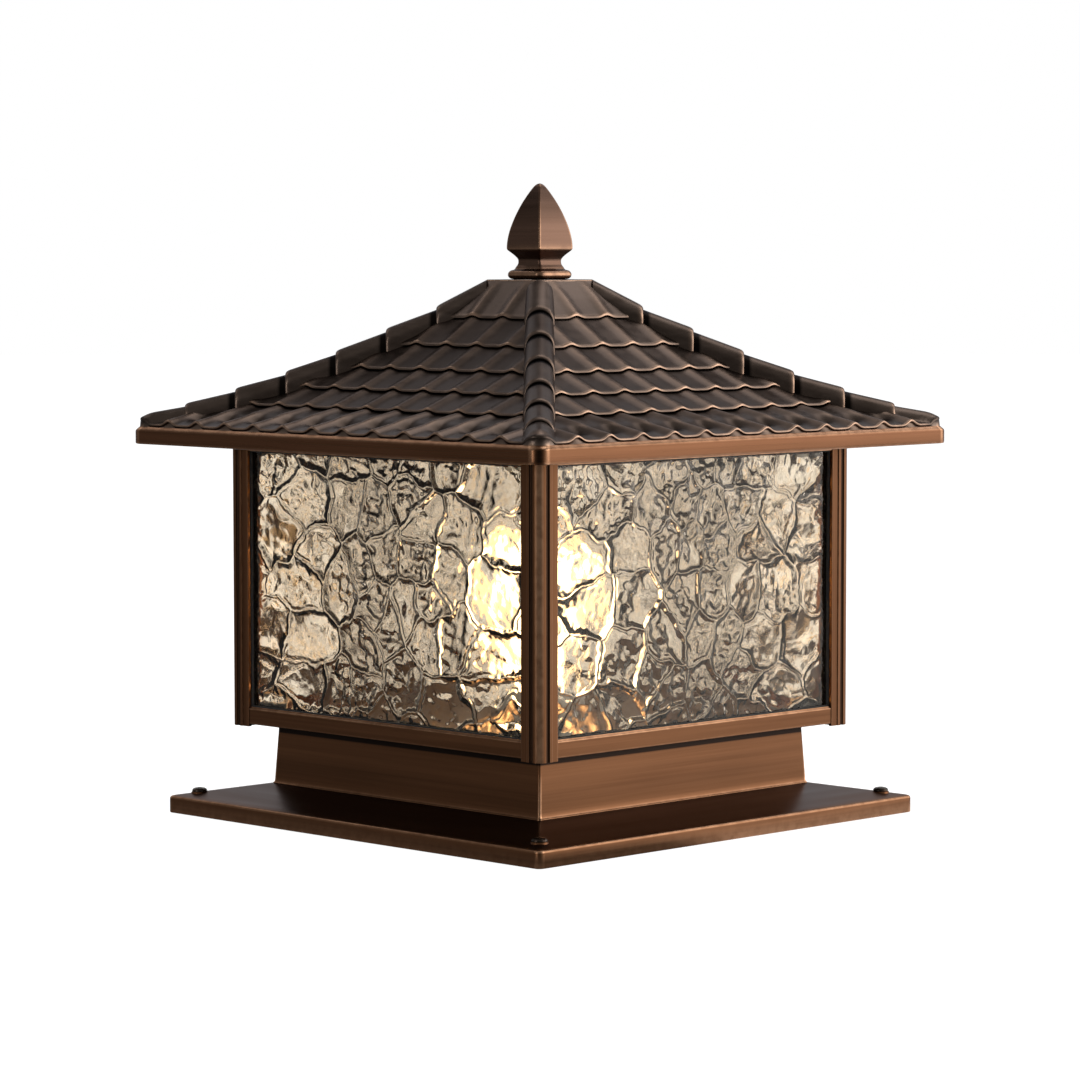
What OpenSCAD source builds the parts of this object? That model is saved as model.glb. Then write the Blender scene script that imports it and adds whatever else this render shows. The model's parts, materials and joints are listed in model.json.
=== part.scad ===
/* [Base plate] */
// Side of the square base plate
base_side = 274.8; // [272:0.2:290]
// Height of the upright rim of the base plate
base_rim_h = 8.7; // [8:0.1:12]
// Rise of the plate's top from its rim to the pedestal
base_rise = 6.8; // [5:0.1:9]
// Wall thickness of the base casting
base_wall = 3; // [2.5:0.5:3.5]
// Radius of the upright corners of the base plate
base_corner_r = 3; // [1:0.5:5]
// Distance between neighbouring fixing holes
fix_spacing = 251; // [246:1:254]
// Diameter of the fixing holes
fix_hole_d = 5; // [4:0.5:6]
// Diameter of the flat pads round the fixing holes
fix_pad_d = 12; // [10:1:14]

/* [Pedestal] */
// Side of the pedestal at its foot
pedestal_foot = 196; // [193:0.5:200]
// Side of the pedestal at its top
pedestal_top = 192.6; // [190:0.2:193]
// Height of the pedestal
pedestal_h = 31.7; // [30:0.1:36]
// Wall thickness of the pedestal
pedestal_wall = 3; // [2.5:0.5:4]
// Diameter of the screw bosses inside the pedestal
boss_d = 12; // [11:1:14]

/* [Lamp body] */
// Side of the lamp body over the noses of its posts
body_side = 227.6; // [225:0.2:230]
// Height of the frame, from the bottom of its rails to the top
frame_h = 147; // [140:1:170]
// Height of the outer face of a bottom rail
sill_h = 9.1; // [8:0.1:12]
// Height of the outer face of a top rail
head_h = 5.2; // [4.6:0.1:7]
// Distance that the rails stand behind the posts
rail_inset = 1; // [0.8:0.1:1.4]
// Height and depth of the thin lip along the top of a bottom rail
sill_lip = 0.8; // [0.4:0.1:1]
// Thickness of the rails' webs and ledges
ledge_t = 2.2; // [1.8:0.1:3]
// Thickness of the floor pan
pan_t = 2.5; // [2:0.5:3]

/* [Corner posts] */
// Width of a post along each face
post_w = 13.4; // [13:0.2:15]
// Width of the fluted nose along each face
nose_w = 9; // [8:0.2:9.6]
// Radius of the nose
nose_r = 3; // [2:0.2:3.4]
// Distance of a flute's middle from the corner
flute_at = 5.4; // [5:0.1:6]
// Radius of a flute
flute_r = 1.5; // [1:0.1:1.8]
// Depth of a flute
flute_depth = 0.9; // [0.5:0.1:1]
// Distance that the glass flange stands behind the nose
post_step = 0.6; // [0.3:0.1:1]
// Distance that the posts reach below the rails
post_drop = 1.2; // [0.6:0.1:2]

/* [Glass] */
// Thickness of a pane over its relief
pane_t = 4.6; // [4:0.1:5]
// Thickness of the rubber round a pane
gasket_t = 1; // [0.8:0.1:1.4]
// Distance from a nose to the groove that holds the pane
groove_at = 2.6; // [2.4:0.1:3]

/* [Roof] */
// Side of the roof over its fascia
roof_side = 300; // [292:1:316]
// Height of the fascia
fascia_h = 9.1; // [8:0.1:12]
// Radius of the fascia's corners
fascia_r = 3; // [1:0.5:5]
// Wall thickness of the roof casting
roof_wall = 3; // [2.5:0.5:3.5]
// Depth of the recess under the eave
eave_recess = 3.6; // [3:0.1:3.9]
// Side of the flat top under the finial
plateau_side = 38.8; // [37:0.2:44]
// Pitch of the tile waves
tile_pitch = 22.2; // [18:0.2:26]
// Height of a tile wave
tile_rise = 2.8; // [2:0.1:3.4]
// Drop of a tile course at its lip
lip_step = 2; // [1.2:0.1:2.4]
// Radius of the hip caps
hip_r = 8; // [7:0.2:9]
// Drop between two hip caps
hip_step = 1.6; // [1:0.1:2.4]

/* [Finial] */
// Side of the finial at its widest
finial_side = 24.2; // [22:0.2:26]
// Height of the finial
finial_h = 49.3; // [46:0.1:56]
// Side of the finial's ring foot
ring_side = 25.6; // [25:0.2:28]
// Side of the finial's neck
neck_side = 16.1; // [15:0.1:18]
// Diameter of the central stud
stud_d = 8; // [6:0.5:8]

/* [Lamp and holder] */
// Diameter of the lamp's globe
globe_d = 60; // [50:1:68]
// Height of the globe above the lamp's cap
globe_h = 79; // [72:1:86]
// Diameter of the lamp's screw cap
cap_d = 26; // [25:0.2:26.4]
// Height of the lampholder
holder_h = 45; // [43:1:48]
// Height of the lampholder's foot above the base
holder_z = 24; // [23:1:26]
// Diameter of the lampholder's foot
holder_d = 42; // [40:1:46]
// Diameter of the supply cable that the gland takes
cable_d = 7.2; // [6:0.2:8]

/* [Hidden] */
$fn = 64;

// Clearances: between parts that move, between parts that are fitted together, and of a thread
body_gap = 0.3;
slip = 0.2;
thread_slip = 0.05;
overlap = 1;

// Heights of the base and of the pedestal
base_half = base_side / 2;
foot_half = pedestal_foot / 2;
fix_at = fix_spacing / 2;
z_foot = base_rim_h + base_rise;
z_deck = z_foot - base_wall;
z_pad = base_rim_h + base_rise * (base_half - fix_at) / (base_half - foot_half) + 0.4;
z_body = z_foot + pedestal_h;
z_pan = z_body + ledge_t;
z_pan_top = z_pan + pan_t;

// Heights of the frame
z_sill = z_body + sill_h;
z_frame = z_body + frame_h;
z_web = z_frame - ledge_t;
z_head = z_frame - head_h;

// Distances in from the nose of a post to the walls of the glass groove
body_half = body_side / 2;
groove_in = groove_at + pane_t + 2 * gasket_t + slip;
groove_wall = 1.6;
groove_back = groove_in + groove_wall;
post_core = groove_in + 1;
rail_half = body_half - post_w;

// The rails' ledges reach in over the pedestal's wall
ledge_lap = 2.5;
ledge_half = pedestal_top / 2 - ledge_lap;
ledge_mid = (body_half - groove_back + ledge_half) / 2;
pan_half = body_half - groove_back - slip;
pan_screw_at = 60;

// Bosses of the pedestal, with screws from below and from above
boss_r = boss_d / 2;
boss_at = pedestal_top / 2 - pedestal_wall - boss_r - 3.2;
flange_t = 3;
flange_half = boss_at - 4;
foot_screw_r = 2.5;
foot_screw_l = 13;
body_screw_r = 2;
body_screw_l = 14;
small_screw_r = 1.4;

// Panes and their gaskets
pane_half = body_half - post_core - gasket_t - slip;
gasket_half = pane_half + gasket_t;
gasket_show = 0.6;

// Cleats that tie the posts to the rails
cleat_t = 2;
cleat_leg = 21;
cleat_h = 6.1;
cleat_screw_at = 15;
cleat_chamfer = 3;
post_screw_r = 1.5;
post_screw_l = 11;
z_low_cleat = z_pan_top;
z_top_cleat = z_web - cleat_h;
z_low_screw = z_low_cleat + 2.4;
z_top_screw = z_web - 2.4;

// Crossbar, stud and nuts
crossbar_t = 3;
crossbar_w = 25;
crossbar_screw_at = crossbar_w * 0.28;
crossbar_half = body_half - groove_back - slip;
z_crossbar = z_web - crossbar_t;
stud_r = stud_d / 2;
nut_r = stud_r * 1.88;
nut_h = stud_r * 1.6;

// Roof: the gasket, the soffit over it, the fascia and the tile courses
roof_half = roof_side / 2;
plateau_half = plateau_side / 2;
roof_gasket_t = 1.5;
roof_gasket_in = 9;
roof_gasket_out = 3;
z_soffit = z_frame + roof_gasket_t + body_gap;
soffit_t = 2.5;
soffit_half = body_half - 15.8;
z_fascia = z_soffit - eave_recess;
z_fascia_top = z_fascia + fascia_h;
eave_rise = 2.2;
eave_setback = 1.8;
z_eave = z_fascia_top + eave_rise;
course_fall = [18, 14, 12, 10, 9, 5.5, 4.7];
hip_fall = [13.5, 11.5, 11.5, 10.5, 8.7, 7.9, 5.4];
course_count = len(course_fall);
course_run = (roof_half - eave_setback - plateau_half) / course_count;
course_lap = 3;
z_plateau = z_eave + total(course_fall, course_count);
tile_steps = 6;
crest_share = 0.65;
plateau_t = 5;
plateau_rim = 0.6;

// Finial and seal, on the flat top of the roof
finial_half = finial_side / 2;
neck_half = neck_side / 2;
ring_half = ring_side / 2;
z_finial = z_plateau + body_gap;
z_tip = z_finial + finial_h;
ring_h = 5.2;
neck_z = z_finial + 9.6;
spear_z = z_finial + 16.2;
tip_half = 1.2;
seal_t = 1.5;
seal_out = 9;
seal_in = stud_r + 0.5;
thread_l = 16;
stud_top = z_finial + seal_t + body_gap + thread_l - 1.5;
stud_bottom = z_crossbar - nut_h - 2;

// Lampholder and lamp
holder_r = holder_d / 2;
collar_r = 19.5;
socket_r = 14.6;
z_socket = holder_z + 16;
z_holder = holder_z + holder_h;
cap_r = cap_d / 2;
cap_t = 0.7;
shell_r = cap_r + body_gap;
z_contact = z_socket + 3.5;
z_tip_low = z_contact + body_gap;
tip_h = 1.6;
button_r = 4.5;
z_cap = z_tip_low + 3.2;
z_globe = z_holder + 0.4;
globe_r = globe_d / 2;
globe_t = 1;
neck_r = cap_r + 0.4;
z_ball = z_globe + globe_h - globe_r;
filament_at = globe_r * 0.233;
filament_h = globe_r * 1.07;
filament_low = z_ball - filament_h * 0.66;
well_r = holder_r + 7;

// Bracket that hangs the lampholder from the floor pan
bracket_t = 2;
bracket_w = 24;
bracket_half = well_r + 4;
bracket_foot = 14;
bracket_screw_at = bracket_half + bracket_t + 7;
holder_screw_at = 11;

// Terminal block, earth screw and gland, on the deck inside the pedestal
block_size = [38, 18, 14];
block_y = 50;
pole_pitch = 12;
earth_at = [42, 22];
gland_y = 78;
gland_thread_r = 8;
gland_hex_r = 11.5;
gland_low = 3.5;
lead_r = 1.3;
lead_sides = 8;
lead_x = 5;

// Sum of the first values of a list
function total(values, count) = count == 0 ? 0 : values[count - 1] + total(values, count - 1);

// Half width of the roof at the lip of a course, and the height of that lip
function lip_s(k) = plateau_half + k * course_run;
function lip_z(k) = z_plateau - total(course_fall, k);
function hip_z(k) = z_plateau - total(hip_fall, k);

// Height of the tile wave at a distance along the eave, with a channel in the middle of a side
function tile_wave(t) = tile_rise * (pow((1 - cos(360 * t / tile_pitch)) / 2, 1.5) - 1 + crest_share);

// A point on a lead's path, on the smooth curve through its points
function curve(p, i, u) = 0.5 * (
    2 * p[i]
    + (p[i + 1] - p[max(i - 1, 0)]) * u
    + (2 * p[max(i - 1, 0)] - 5 * p[i] + 4 * p[i + 1] - p[min(i + 2, len(p) - 1)]) * u * u
    + (3 * p[i] - p[max(i - 1, 0)] - 3 * p[i + 1] + p[min(i + 2, len(p) - 1)]) * u * u * u
);

module at_corners(at) {
    for (x = [-at, at])
        for (y = [-at, at])
            translate([x, y, 0])
                children();
}

// Turns a piece of the front side to another side, counted anticlockwise seen from above
module on_side(i) {
    rotate([0, 0, 90 * i])
        children();
}

// Local x and y run inwards from a nose of the body, at the front right corner for i = 0
module in_corner(i) {
    rotate([0, 0, 90 * i])
        translate([body_half, -body_half, 0])
            mirror([1, 0, 0])
                children();
}

// Square prism with rounded upright corners
module rounded_prism(half, r, z0, z1) {
    translate([0, 0, z0])
        linear_extrude(z1 - z0)
            union() {
                square([2 * half, 2 * (half - r)], center = true);
                square([2 * (half - r), 2 * half], center = true);
                for (x = [-1, 1])
                    for (y = [-1, 1])
                        translate([x * (half - r), y * (half - r)])
                            circle(r);
            }
}

// Square solid whose half width follows a list of [half width, height] points, upwards
module square_loft(profile) {
    reach = 2 * max([for (point = profile) point[0]]) + 2;
    last = len(profile) - 1;
    outline = concat(profile, [for (i = [last : -1 : 0]) [-profile[i][0], profile[i][1]]]);
    intersection() {
        upright_slab(outline, reach);
        rotate([0, 0, 90])
            upright_slab(outline, reach);
    }
}

module upright_slab(outline, reach) {
    translate([0, reach / 2, 0])
        rotate([90, 0, 0])
            linear_extrude(reach)
                polygon(outline);
}

// Screw with its head above z = 0 and its shank below
module screw(head_r, head_h, shank_r, length) {
    dome_r = 1.6 * head_r;
    slot_w = 0.35 * head_r;
    slot_l = 1.2 * head_r;
    slot_depth = 0.5 * head_h;
    difference() {
        intersection() {
            cylinder(h = head_h, r = head_r);
            translate([0, 0, head_h - dome_r])
                sphere(dome_r);
        }
        for (turn = [0, 90])
            rotate([0, 0, turn])
                translate([-slot_l / 2, -slot_w / 2, head_h - slot_depth])
                    cube([slot_l, slot_w, head_h]);
    }
    translate([0, 0, -length])
        cylinder(h = length, r = shank_r);
}

// Box along the front side, between two distances in from the noses
module front_strip(half, in0, in1, z0, z1) {
    translate([-half, in0 - body_half, z0])
        cube([2 * half, in1 - in0, z1 - z0]);
}

module base_plate() {
    color("#2b231f")
        difference() {
            union() {
                difference() {
                    intersection() {
                        square_loft([[base_half, 0], [base_half, base_rim_h], [foot_half, z_foot]]);
                        rounded_prism(base_half, base_corner_r, 0, z_foot);
                    }
                    square_loft([
                        [base_half - base_wall - 1, -overlap],
                        [base_half - base_wall - 1, base_rim_h - base_wall],
                        [foot_half, z_deck]
                    ]);
                }
                at_corners(fix_at)
                    cylinder(h = z_pad, d = fix_pad_d);
            }
            at_corners(fix_at)
                translate([0, 0, -overlap])
                    cylinder(h = z_pad + 2 * overlap, d = fix_hole_d);
            at_corners(boss_at)
                translate([0, 0, z_deck - overlap])
                    cylinder(h = base_wall + 2 * overlap, r = foot_screw_r + slip);
            translate([0, -gland_y, z_deck - overlap])
                cylinder(h = base_wall + 2 * overlap, r = gland_thread_r + slip);
            translate([earth_at[0], earth_at[1], z_deck - overlap])
                cylinder(h = base_wall + 2 * overlap, r = body_screw_r + thread_slip);
            for (x = [-pole_pitch / 2, pole_pitch / 2])
                translate([x, block_y, z_deck - overlap])
                    cylinder(h = base_wall + 2 * overlap, r = small_screw_r + thread_slip);
        }
}

module cable_gland() {
    gland_h = z_foot + 5 - gland_low;
    hex_h = z_deck - gland_low;
    color("#1c1c1e")
        translate([0, -gland_y, gland_low])
            difference() {
                union() {
                    cylinder(h = hex_h, r = gland_hex_r, $fn = 6);
                    cylinder(h = gland_h, r = gland_thread_r);
                }
                translate([0, 0, -overlap])
                    cylinder(h = gland_h + 2 * overlap, r = cable_d / 2 + 2);
            }
}

module gland_nut() {
    color("#1c1c1e")
        translate([0, -gland_y, z_foot])
            difference() {
                cylinder(h = 4, r = gland_hex_r, $fn = 6);
                translate([0, 0, -overlap])
                    cylinder(h = 4 + 2 * overlap, r = gland_thread_r + thread_slip);
            }
}

module gland_seal() {
    color("#101010")
        translate([0, -gland_y, gland_low + 1])
            difference() {
                cylinder(h = 11, r = cable_d / 2 + 2 - thread_slip);
                translate([0, 0, -overlap])
                    cylinder(h = 11 + 2 * overlap, d = cable_d);
            }
}

module pedestal() {
    color("#6b4a35")
        difference() {
            union() {
                difference() {
                    square_loft([[foot_half, z_foot], [pedestal_top / 2, z_body]]);
                    square_loft([
                        [foot_half - pedestal_wall, z_foot - overlap],
                        [pedestal_top / 2 - pedestal_wall, z_body - flange_t]
                    ]);
                    translate([-flange_half, -flange_half, z_foot])
                        cube([2 * flange_half, 2 * flange_half, pedestal_h + overlap]);
                }
                at_corners(boss_at)
                    translate([0, 0, z_foot])
                        cylinder(h = z_pan - z_foot, r = boss_r);
            }
            at_corners(boss_at)
                translate([0, 0, z_foot - overlap])
                    cylinder(h = foot_screw_l + overlap, r = foot_screw_r + thread_slip);
            at_corners(boss_at)
                translate([0, 0, z_pan - body_screw_l])
                    cylinder(h = body_screw_l + overlap, r = body_screw_r + thread_slip);
        }
}

module pedestal_screws() {
    color("#8a8a88")
        at_corners(boss_at)
            translate([0, 0, z_deck])
                rotate([180, 0, 0])
                    screw(4.6, 3, foot_screw_r, base_wall + foot_screw_l - 2);
}

module floor_pan() {
    color("#3a2a22")
        difference() {
            translate([-pan_half, -pan_half, z_pan])
                cube([2 * pan_half, 2 * pan_half, pan_t]);
            translate([0, 0, z_pan - overlap])
                cylinder(h = pan_t + 2 * overlap, r = well_r);
            at_corners(boss_at)
                translate([0, 0, z_pan - overlap])
                    cylinder(h = pan_t + 2 * overlap, r = body_screw_r + slip);
            for (x = [-bracket_screw_at, bracket_screw_at])
                translate([x, 0, z_pan - overlap])
                    cylinder(h = pan_t + 2 * overlap, r = body_screw_r + slip);
            for (i = [0 : 3])
                on_side(i)
                    for (x = [-pan_screw_at, pan_screw_at])
                        translate([x, -ledge_mid, z_pan - overlap])
                            cylinder(h = pan_t + 2 * overlap, r = small_screw_r + slip);
        }
}

module body_screws() {
    color("#8a8a88")
        at_corners(boss_at)
            translate([0, 0, z_pan_top])
                screw(3.8, 2.6, body_screw_r, pan_t + body_screw_l - 1);
}

module pan_screws() {
    color("#8a8a88")
        for (i = [0 : 3])
            on_side(i)
                for (x = [-pan_screw_at, pan_screw_at])
                    translate([x, -ledge_mid, z_pan_top])
                        screw(2.8, 2, small_screw_r, pan_t + ledge_t);
}

module bottom_rail(i) {
    color("#4a3428")
        on_side(i)
            difference() {
                union() {
                    front_strip(rail_half, rail_inset, groove_at, z_body, z_sill - sill_lip);
                    front_strip(rail_half, rail_inset + sill_lip, groove_at, z_body, z_sill);
                    front_strip(rail_half, rail_inset, groove_back, z_body, z_pan);
                    front_strip(rail_half, groove_in, groove_back, z_body, z_sill);
                    front_strip(ledge_half - slip, groove_in, body_half - ledge_half, z_body, z_pan);
                }
                for (x = [-pan_screw_at, pan_screw_at])
                    translate([x, -ledge_mid, z_body - overlap])
                        cylinder(h = ledge_t + 2 * overlap, r = small_screw_r + thread_slip);
                rail_screw_holes(z_low_screw);
            }
}

module rail_screw_holes(z) {
    for (x = [-1, 1])
        translate([x * (body_half - groove_back - cleat_screw_at), groove_back + overlap - body_half, z])
            rotate([90, 0, 0])
                cylinder(h = groove_wall + 2 * overlap, r = small_screw_r + thread_slip);
}

module top_rail(i) {
    head_wall_h = 6.7;
    color("#4a3428")
        on_side(i)
            difference() {
                union() {
                    front_strip(rail_half, rail_inset, groove_at, z_head, z_frame);
                    front_strip(rail_half, rail_inset, groove_back, z_web, z_frame);
                    front_strip(rail_half, groove_in, groove_back, z_frame - head_wall_h, z_frame);
                    front_strip(ledge_half - slip, groove_in, body_half - ledge_half, z_web, z_frame);
                }
                rail_screw_holes(z_top_screw);
                for (x = [-crossbar_screw_at, crossbar_screw_at])
                    translate([x, -ledge_mid, z_web - overlap])
                        cylinder(h = ledge_t + 2 * overlap, r = small_screw_r + thread_slip);
            }
}

module corner_post(i) {
    z_post = z_body - post_drop;
    color("#54392a")
        in_corner(i)
            difference() {
                translate([0, 0, z_post])
                    linear_extrude(z_frame - z_post)
                        post_section();
                for (z = [z_low_screw, z_top_screw])
                    translate([groove_back, groove_back, z])
                        rotate([0, 90, 45])
                            translate([0, 0, -post_screw_l])
                                cylinder(
                                    h = post_screw_l + 2 * post_screw_r,
                                    r = post_screw_r + thread_slip
                                );
            }
}

// Section of a post, with its nose at the origin and a groove for a pane along each side
module post_section() {
    difference() {
        union() {
            difference() {
                square(post_core);
                square(nose_r);
                translate([nose_w, 0])
                    square([post_core, post_step]);
                translate([0, nose_w])
                    square([post_step, post_core]);
            }
            translate([nose_r, nose_r])
                circle(nose_r);
            translate([nose_w, post_step])
                square([post_w - nose_w, groove_at - post_step]);
            translate([post_step, nose_w])
                square([groove_at - post_step, post_w - nose_w]);
            translate([groove_in, groove_in])
                square([post_w - groove_in, groove_wall]);
            translate([groove_in, groove_in])
                square([groove_wall, post_w - groove_in]);
        }
        translate([flute_depth - flute_r, flute_at])
            circle(flute_r);
        translate([flute_at, flute_depth - flute_r])
            circle(flute_r);
    }
}

module glass_pane(i) {
    color("#d9d2bd", 0.45)
        on_side(i)
            front_strip(
                pane_half,
                groove_at + slip / 2 + gasket_t, groove_in - slip / 2 - gasket_t,
                z_pan + slip + gasket_t, z_web - slip - gasket_t
            );
}

module pane_gasket(i) {
    color("#17130f")
        on_side(i)
            difference() {
                front_strip(
                    gasket_half,
                    groove_at + slip / 2, groove_in - slip / 2,
                    z_pan + slip, z_web - slip
                );
                front_strip(
                    pane_half,
                    groove_at + slip / 2 + gasket_t, groove_in - slip / 2 - gasket_t,
                    z_pan + slip + gasket_t, z_web - slip - gasket_t
                );
                front_strip(
                    rail_half - gasket_show, 0, groove_back,
                    z_sill + gasket_show, z_head - gasket_show
                );
                gasket_notches();
            }
}

// Room at the ends of a gasket for the screws that go into the posts
module gasket_notches() {
    for (side = [0, 1])
        mirror([side, 0, 0])
            for (z = [z_low_screw, z_top_screw])
                translate([body_half - groove_back, groove_back - body_half, z])
                    rotate([0, 90, -45])
                        cylinder(h = post_screw_l, r = post_screw_r + slip);
}

// Angle piece in a corner, against the rails' inner walls and the post
module cleat(z) {
    near = groove_back;
    far = groove_back + cleat_leg;
    wall = groove_back + cleat_t;
    difference() {
        translate([0, 0, z])
            linear_extrude(cleat_h)
                polygon([
                    [near, near], [far, near], [far, wall], [wall + cleat_chamfer, wall],
                    [wall, wall + cleat_chamfer], [wall, far], [near, far]
                ]);
        for (turn = [0, 1])
            mirror([turn, -turn, 0])
                translate([near - overlap, near + cleat_screw_at, z == z_low_cleat ? z_low_screw : z_top_screw])
                    rotate([0, 90, 0])
                        cylinder(h = cleat_t + 2 * overlap, r = small_screw_r + slip);
        translate([near, near, z == z_low_cleat ? z_low_screw : z_top_screw])
            rotate([0, 90, 45])
                translate([0, 0, -overlap])
                    cylinder(h = 2 * cleat_t + cleat_chamfer + 2 * overlap, r = post_screw_r + slip);
    }
}

module low_cleats() {
    color("#9a9a96")
        for (i = [0 : 3])
            in_corner(i)
                cleat(z_low_cleat);
}

module top_cleats() {
    color("#9a9a96")
        for (i = [0 : 3])
            in_corner(i)
                cleat(z_top_cleat);
}

module post_screws() {
    seat = groove_back + cleat_t + cleat_chamfer / 2;
    color("#8a8a88")
        for (i = [0 : 3])
            in_corner(i)
                for (z = [z_low_screw, z_top_screw])
                    translate([seat, seat, z])
                        rotate([0, 90, 45])
                            screw(2.3, 1.8, post_screw_r, post_screw_l);
}

module rail_screws() {
    color("#8a8a88")
        for (i = [0 : 3])
            in_corner(i)
                for (z = [z_low_screw, z_top_screw])
                    for (turn = [0, 1])
                        mirror([turn, -turn, 0])
                            translate([groove_back + cleat_t, groove_back + cleat_screw_at, z])
                                rotate([0, 90, 0])
                                    screw(2.2, 1.6, small_screw_r, cleat_t + groove_wall);
}

module crossbar() {
    color("#8f8f8b")
        difference() {
            translate([-crossbar_half, -crossbar_w / 2, z_crossbar])
                cube([2 * crossbar_half, crossbar_w, crossbar_t]);
            translate([0, 0, z_crossbar - overlap])
                cylinder(h = crossbar_t + 2 * overlap, r = stud_r + thread_slip);
            for (x = [-ledge_mid, ledge_mid])
                for (y = [-crossbar_screw_at, crossbar_screw_at])
                    translate([x, y, z_crossbar - overlap])
                        cylinder(h = crossbar_t + 2 * overlap, r = small_screw_r + slip);
        }
}

module crossbar_screws() {
    color("#8a8a88")
        for (x = [-ledge_mid, ledge_mid])
            for (y = [-crossbar_screw_at, crossbar_screw_at])
                translate([x, y, z_crossbar])
                    rotate([180, 0, 0])
                        screw(2.8, 2, small_screw_r, crossbar_t + ledge_t);
}

module center_stud() {
    color("#b9b9b4")
        translate([0, 0, stud_bottom])
            cylinder(h = stud_top - stud_bottom, r = stud_r);
}

module stud_nuts() {
    color("#b9b9b4")
        for (z = [z_crossbar - nut_h, z_crossbar + crossbar_t])
            translate([0, 0, z])
                difference() {
                    cylinder(h = nut_h, r = nut_r, $fn = 6);
                    translate([0, 0, -overlap])
                        cylinder(h = nut_h + 2 * overlap, r = stud_r + thread_slip);
                }
}

module roof_gasket() {
    outer = body_half - roof_gasket_out;
    inner = body_half - roof_gasket_in;
    color("#17130f")
        difference() {
            translate([-outer, -outer, z_frame])
                cube([2 * outer, 2 * outer, roof_gasket_t]);
            translate([-inner, -inner, z_frame - overlap])
                cube([2 * inner, 2 * inner, roof_gasket_t + 2 * overlap]);
        }
}

// One course of tiles on the front side, from its lip up to under the lip above
module tile_course(k) {
    s_out = lip_s(k);
    s_up = lip_s(k - 1);
    s_top = k == 1 ? s_up : s_up - course_lap;
    z_up = lip_z(k - 1) - (k == 1 ? 0 : lip_step);
    slope = (z_up - lip_z(k)) / course_run;
    z_low = z_soffit + soffit_t / 2;
    half = s_out - overlap;
    step = tile_pitch / tile_steps;
    count = ceil(half / step);
    stations = [for (j = [-count : count]) max(-half, min(half, j * step))];
    inner = [for (t = stations) max(s_top, abs(t) - overlap)];
    fade = [for (s = inner) k == 1 ? (s - s_up) / course_run : 1];
    points = [
        for (j = [0 : 2 * count])
            each [
                [stations[j], -inner[j], z_low],
                [stations[j], -s_out, z_low],
                [stations[j], -s_out, lip_z(k) + tile_wave(stations[j])],
                [stations[j], -inner[j],
                    lip_z(k) + (s_out - inner[j]) * slope + fade[j] * tile_wave(stations[j])]
            ]
    ];
    last = 8 * count;
    faces = concat(
        [[3, 2, 1, 0]],
        [
            for (j = [0 : 2 * count - 1])
                for (a = [0 : 3])
                    [4 * j + a, 4 * j + (a + 1) % 4, 4 * j + 4 + (a + 1) % 4, 4 * j + 4 + a]
        ],
        [[last, last + 1, last + 2, last + 3]]
    );
    polyhedron(points, faces);
}

// Upright disc across a hip, with its crest at a given height
module hip_disc(s, crest, r) {
    translate([s, -s, crest - r])
        rotate([90, 0, 45])
            cylinder(h = 0.2, r = r, $fn = 24);
}

// Half round caps along the front right hip, each stepped down from the one above
module hip_caps() {
    for (k = [1 : course_count]) {
        end = lip_s(k) - (k == course_count ? course_lap : 0);
        hull() {
            hip_disc(lip_s(k - 1), hip_z(k - 1) - (k == 1 ? 0 : hip_step), hip_r);
            hip_disc(end, hip_z(k), hip_r);
        }
    }
    hull() {
        hip_disc(lip_s(course_count) - course_lap, hip_z(course_count), hip_r);
        hip_disc(roof_half - fascia_r, z_fascia_top, hip_r / 2);
    }
}

// Hollow under the tiles, with walls that follow the courses
module roof_hollow() {
    drop = roof_wall + lip_step + tile_rise;
    square_loft(concat(
        [[lip_s(course_count) - 4, z_soffit + soffit_t]],
        [for (k = [course_count - 1 : -1 : 1]) [lip_s(k), lip_z(k) - drop / 1.2]],
        [[plateau_half - 1, z_plateau - plateau_t]]
    ));
}

module roof_shell() {
    color("#3b302b")
        difference() {
            union() {
                intersection() {
                    square_loft([
                        [roof_half, z_fascia],
                        [roof_half, z_fascia_top],
                        [roof_half - 2.5, z_fascia_top + 1.4]
                    ]);
                    rounded_prism(roof_half, fascia_r, z_fascia, z_eave);
                }
                for (i = [0 : 3])
                    on_side(i) {
                        for (k = [1 : course_count])
                            tile_course(k);
                        intersection() {
                            hip_caps();
                            rounded_prism(roof_half, fascia_r, z_fascia, z_plateau);
                        }
                    }
                rounded_prism(plateau_half + plateau_rim, plateau_rim, z_plateau - 2 * plateau_t, z_plateau);
            }
            roof_hollow();
            rounded_prism(roof_half - roof_wall, fascia_r, z_fascia - overlap, z_soffit);
            translate([-soffit_half, -soffit_half, z_soffit - overlap])
                cube([2 * soffit_half, 2 * soffit_half, soffit_t + 2 * overlap]);
            translate([0, 0, z_plateau - 3 * plateau_t])
                cylinder(h = 4 * plateau_t, r = stud_r + 0.5, $fn = 48);
            translate([-ring_half, -ring_half, z_plateau])
                cube([ring_side, ring_side, finial_h]);
        }
}

module finial_seal() {
    color("#101010")
        translate([0, 0, z_finial])
            difference() {
                cylinder(h = seal_t, r = seal_out);
                translate([0, 0, -overlap])
                    cylinder(h = seal_t + 2 * overlap, r = seal_in);
            }
}

// Half width of the spear at a height over its widest place, on an arc that ends at the tip
function spear_half(h) =
    let (rise = z_tip - spear_z)
    let (arc_r = (rise * rise + finial_half * finial_half) / (2 * finial_half))
    max(tip_half, finial_half - arc_r + sqrt(arc_r * arc_r - h * h));

// Half width of the ring foot at a height over its underside, with a round edge
function ring_edge(h) =
    ring_half - ring_h / 2 + sqrt(max(ring_h * ring_h / 4 - pow(h - ring_h / 2, 2), 0));

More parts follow.
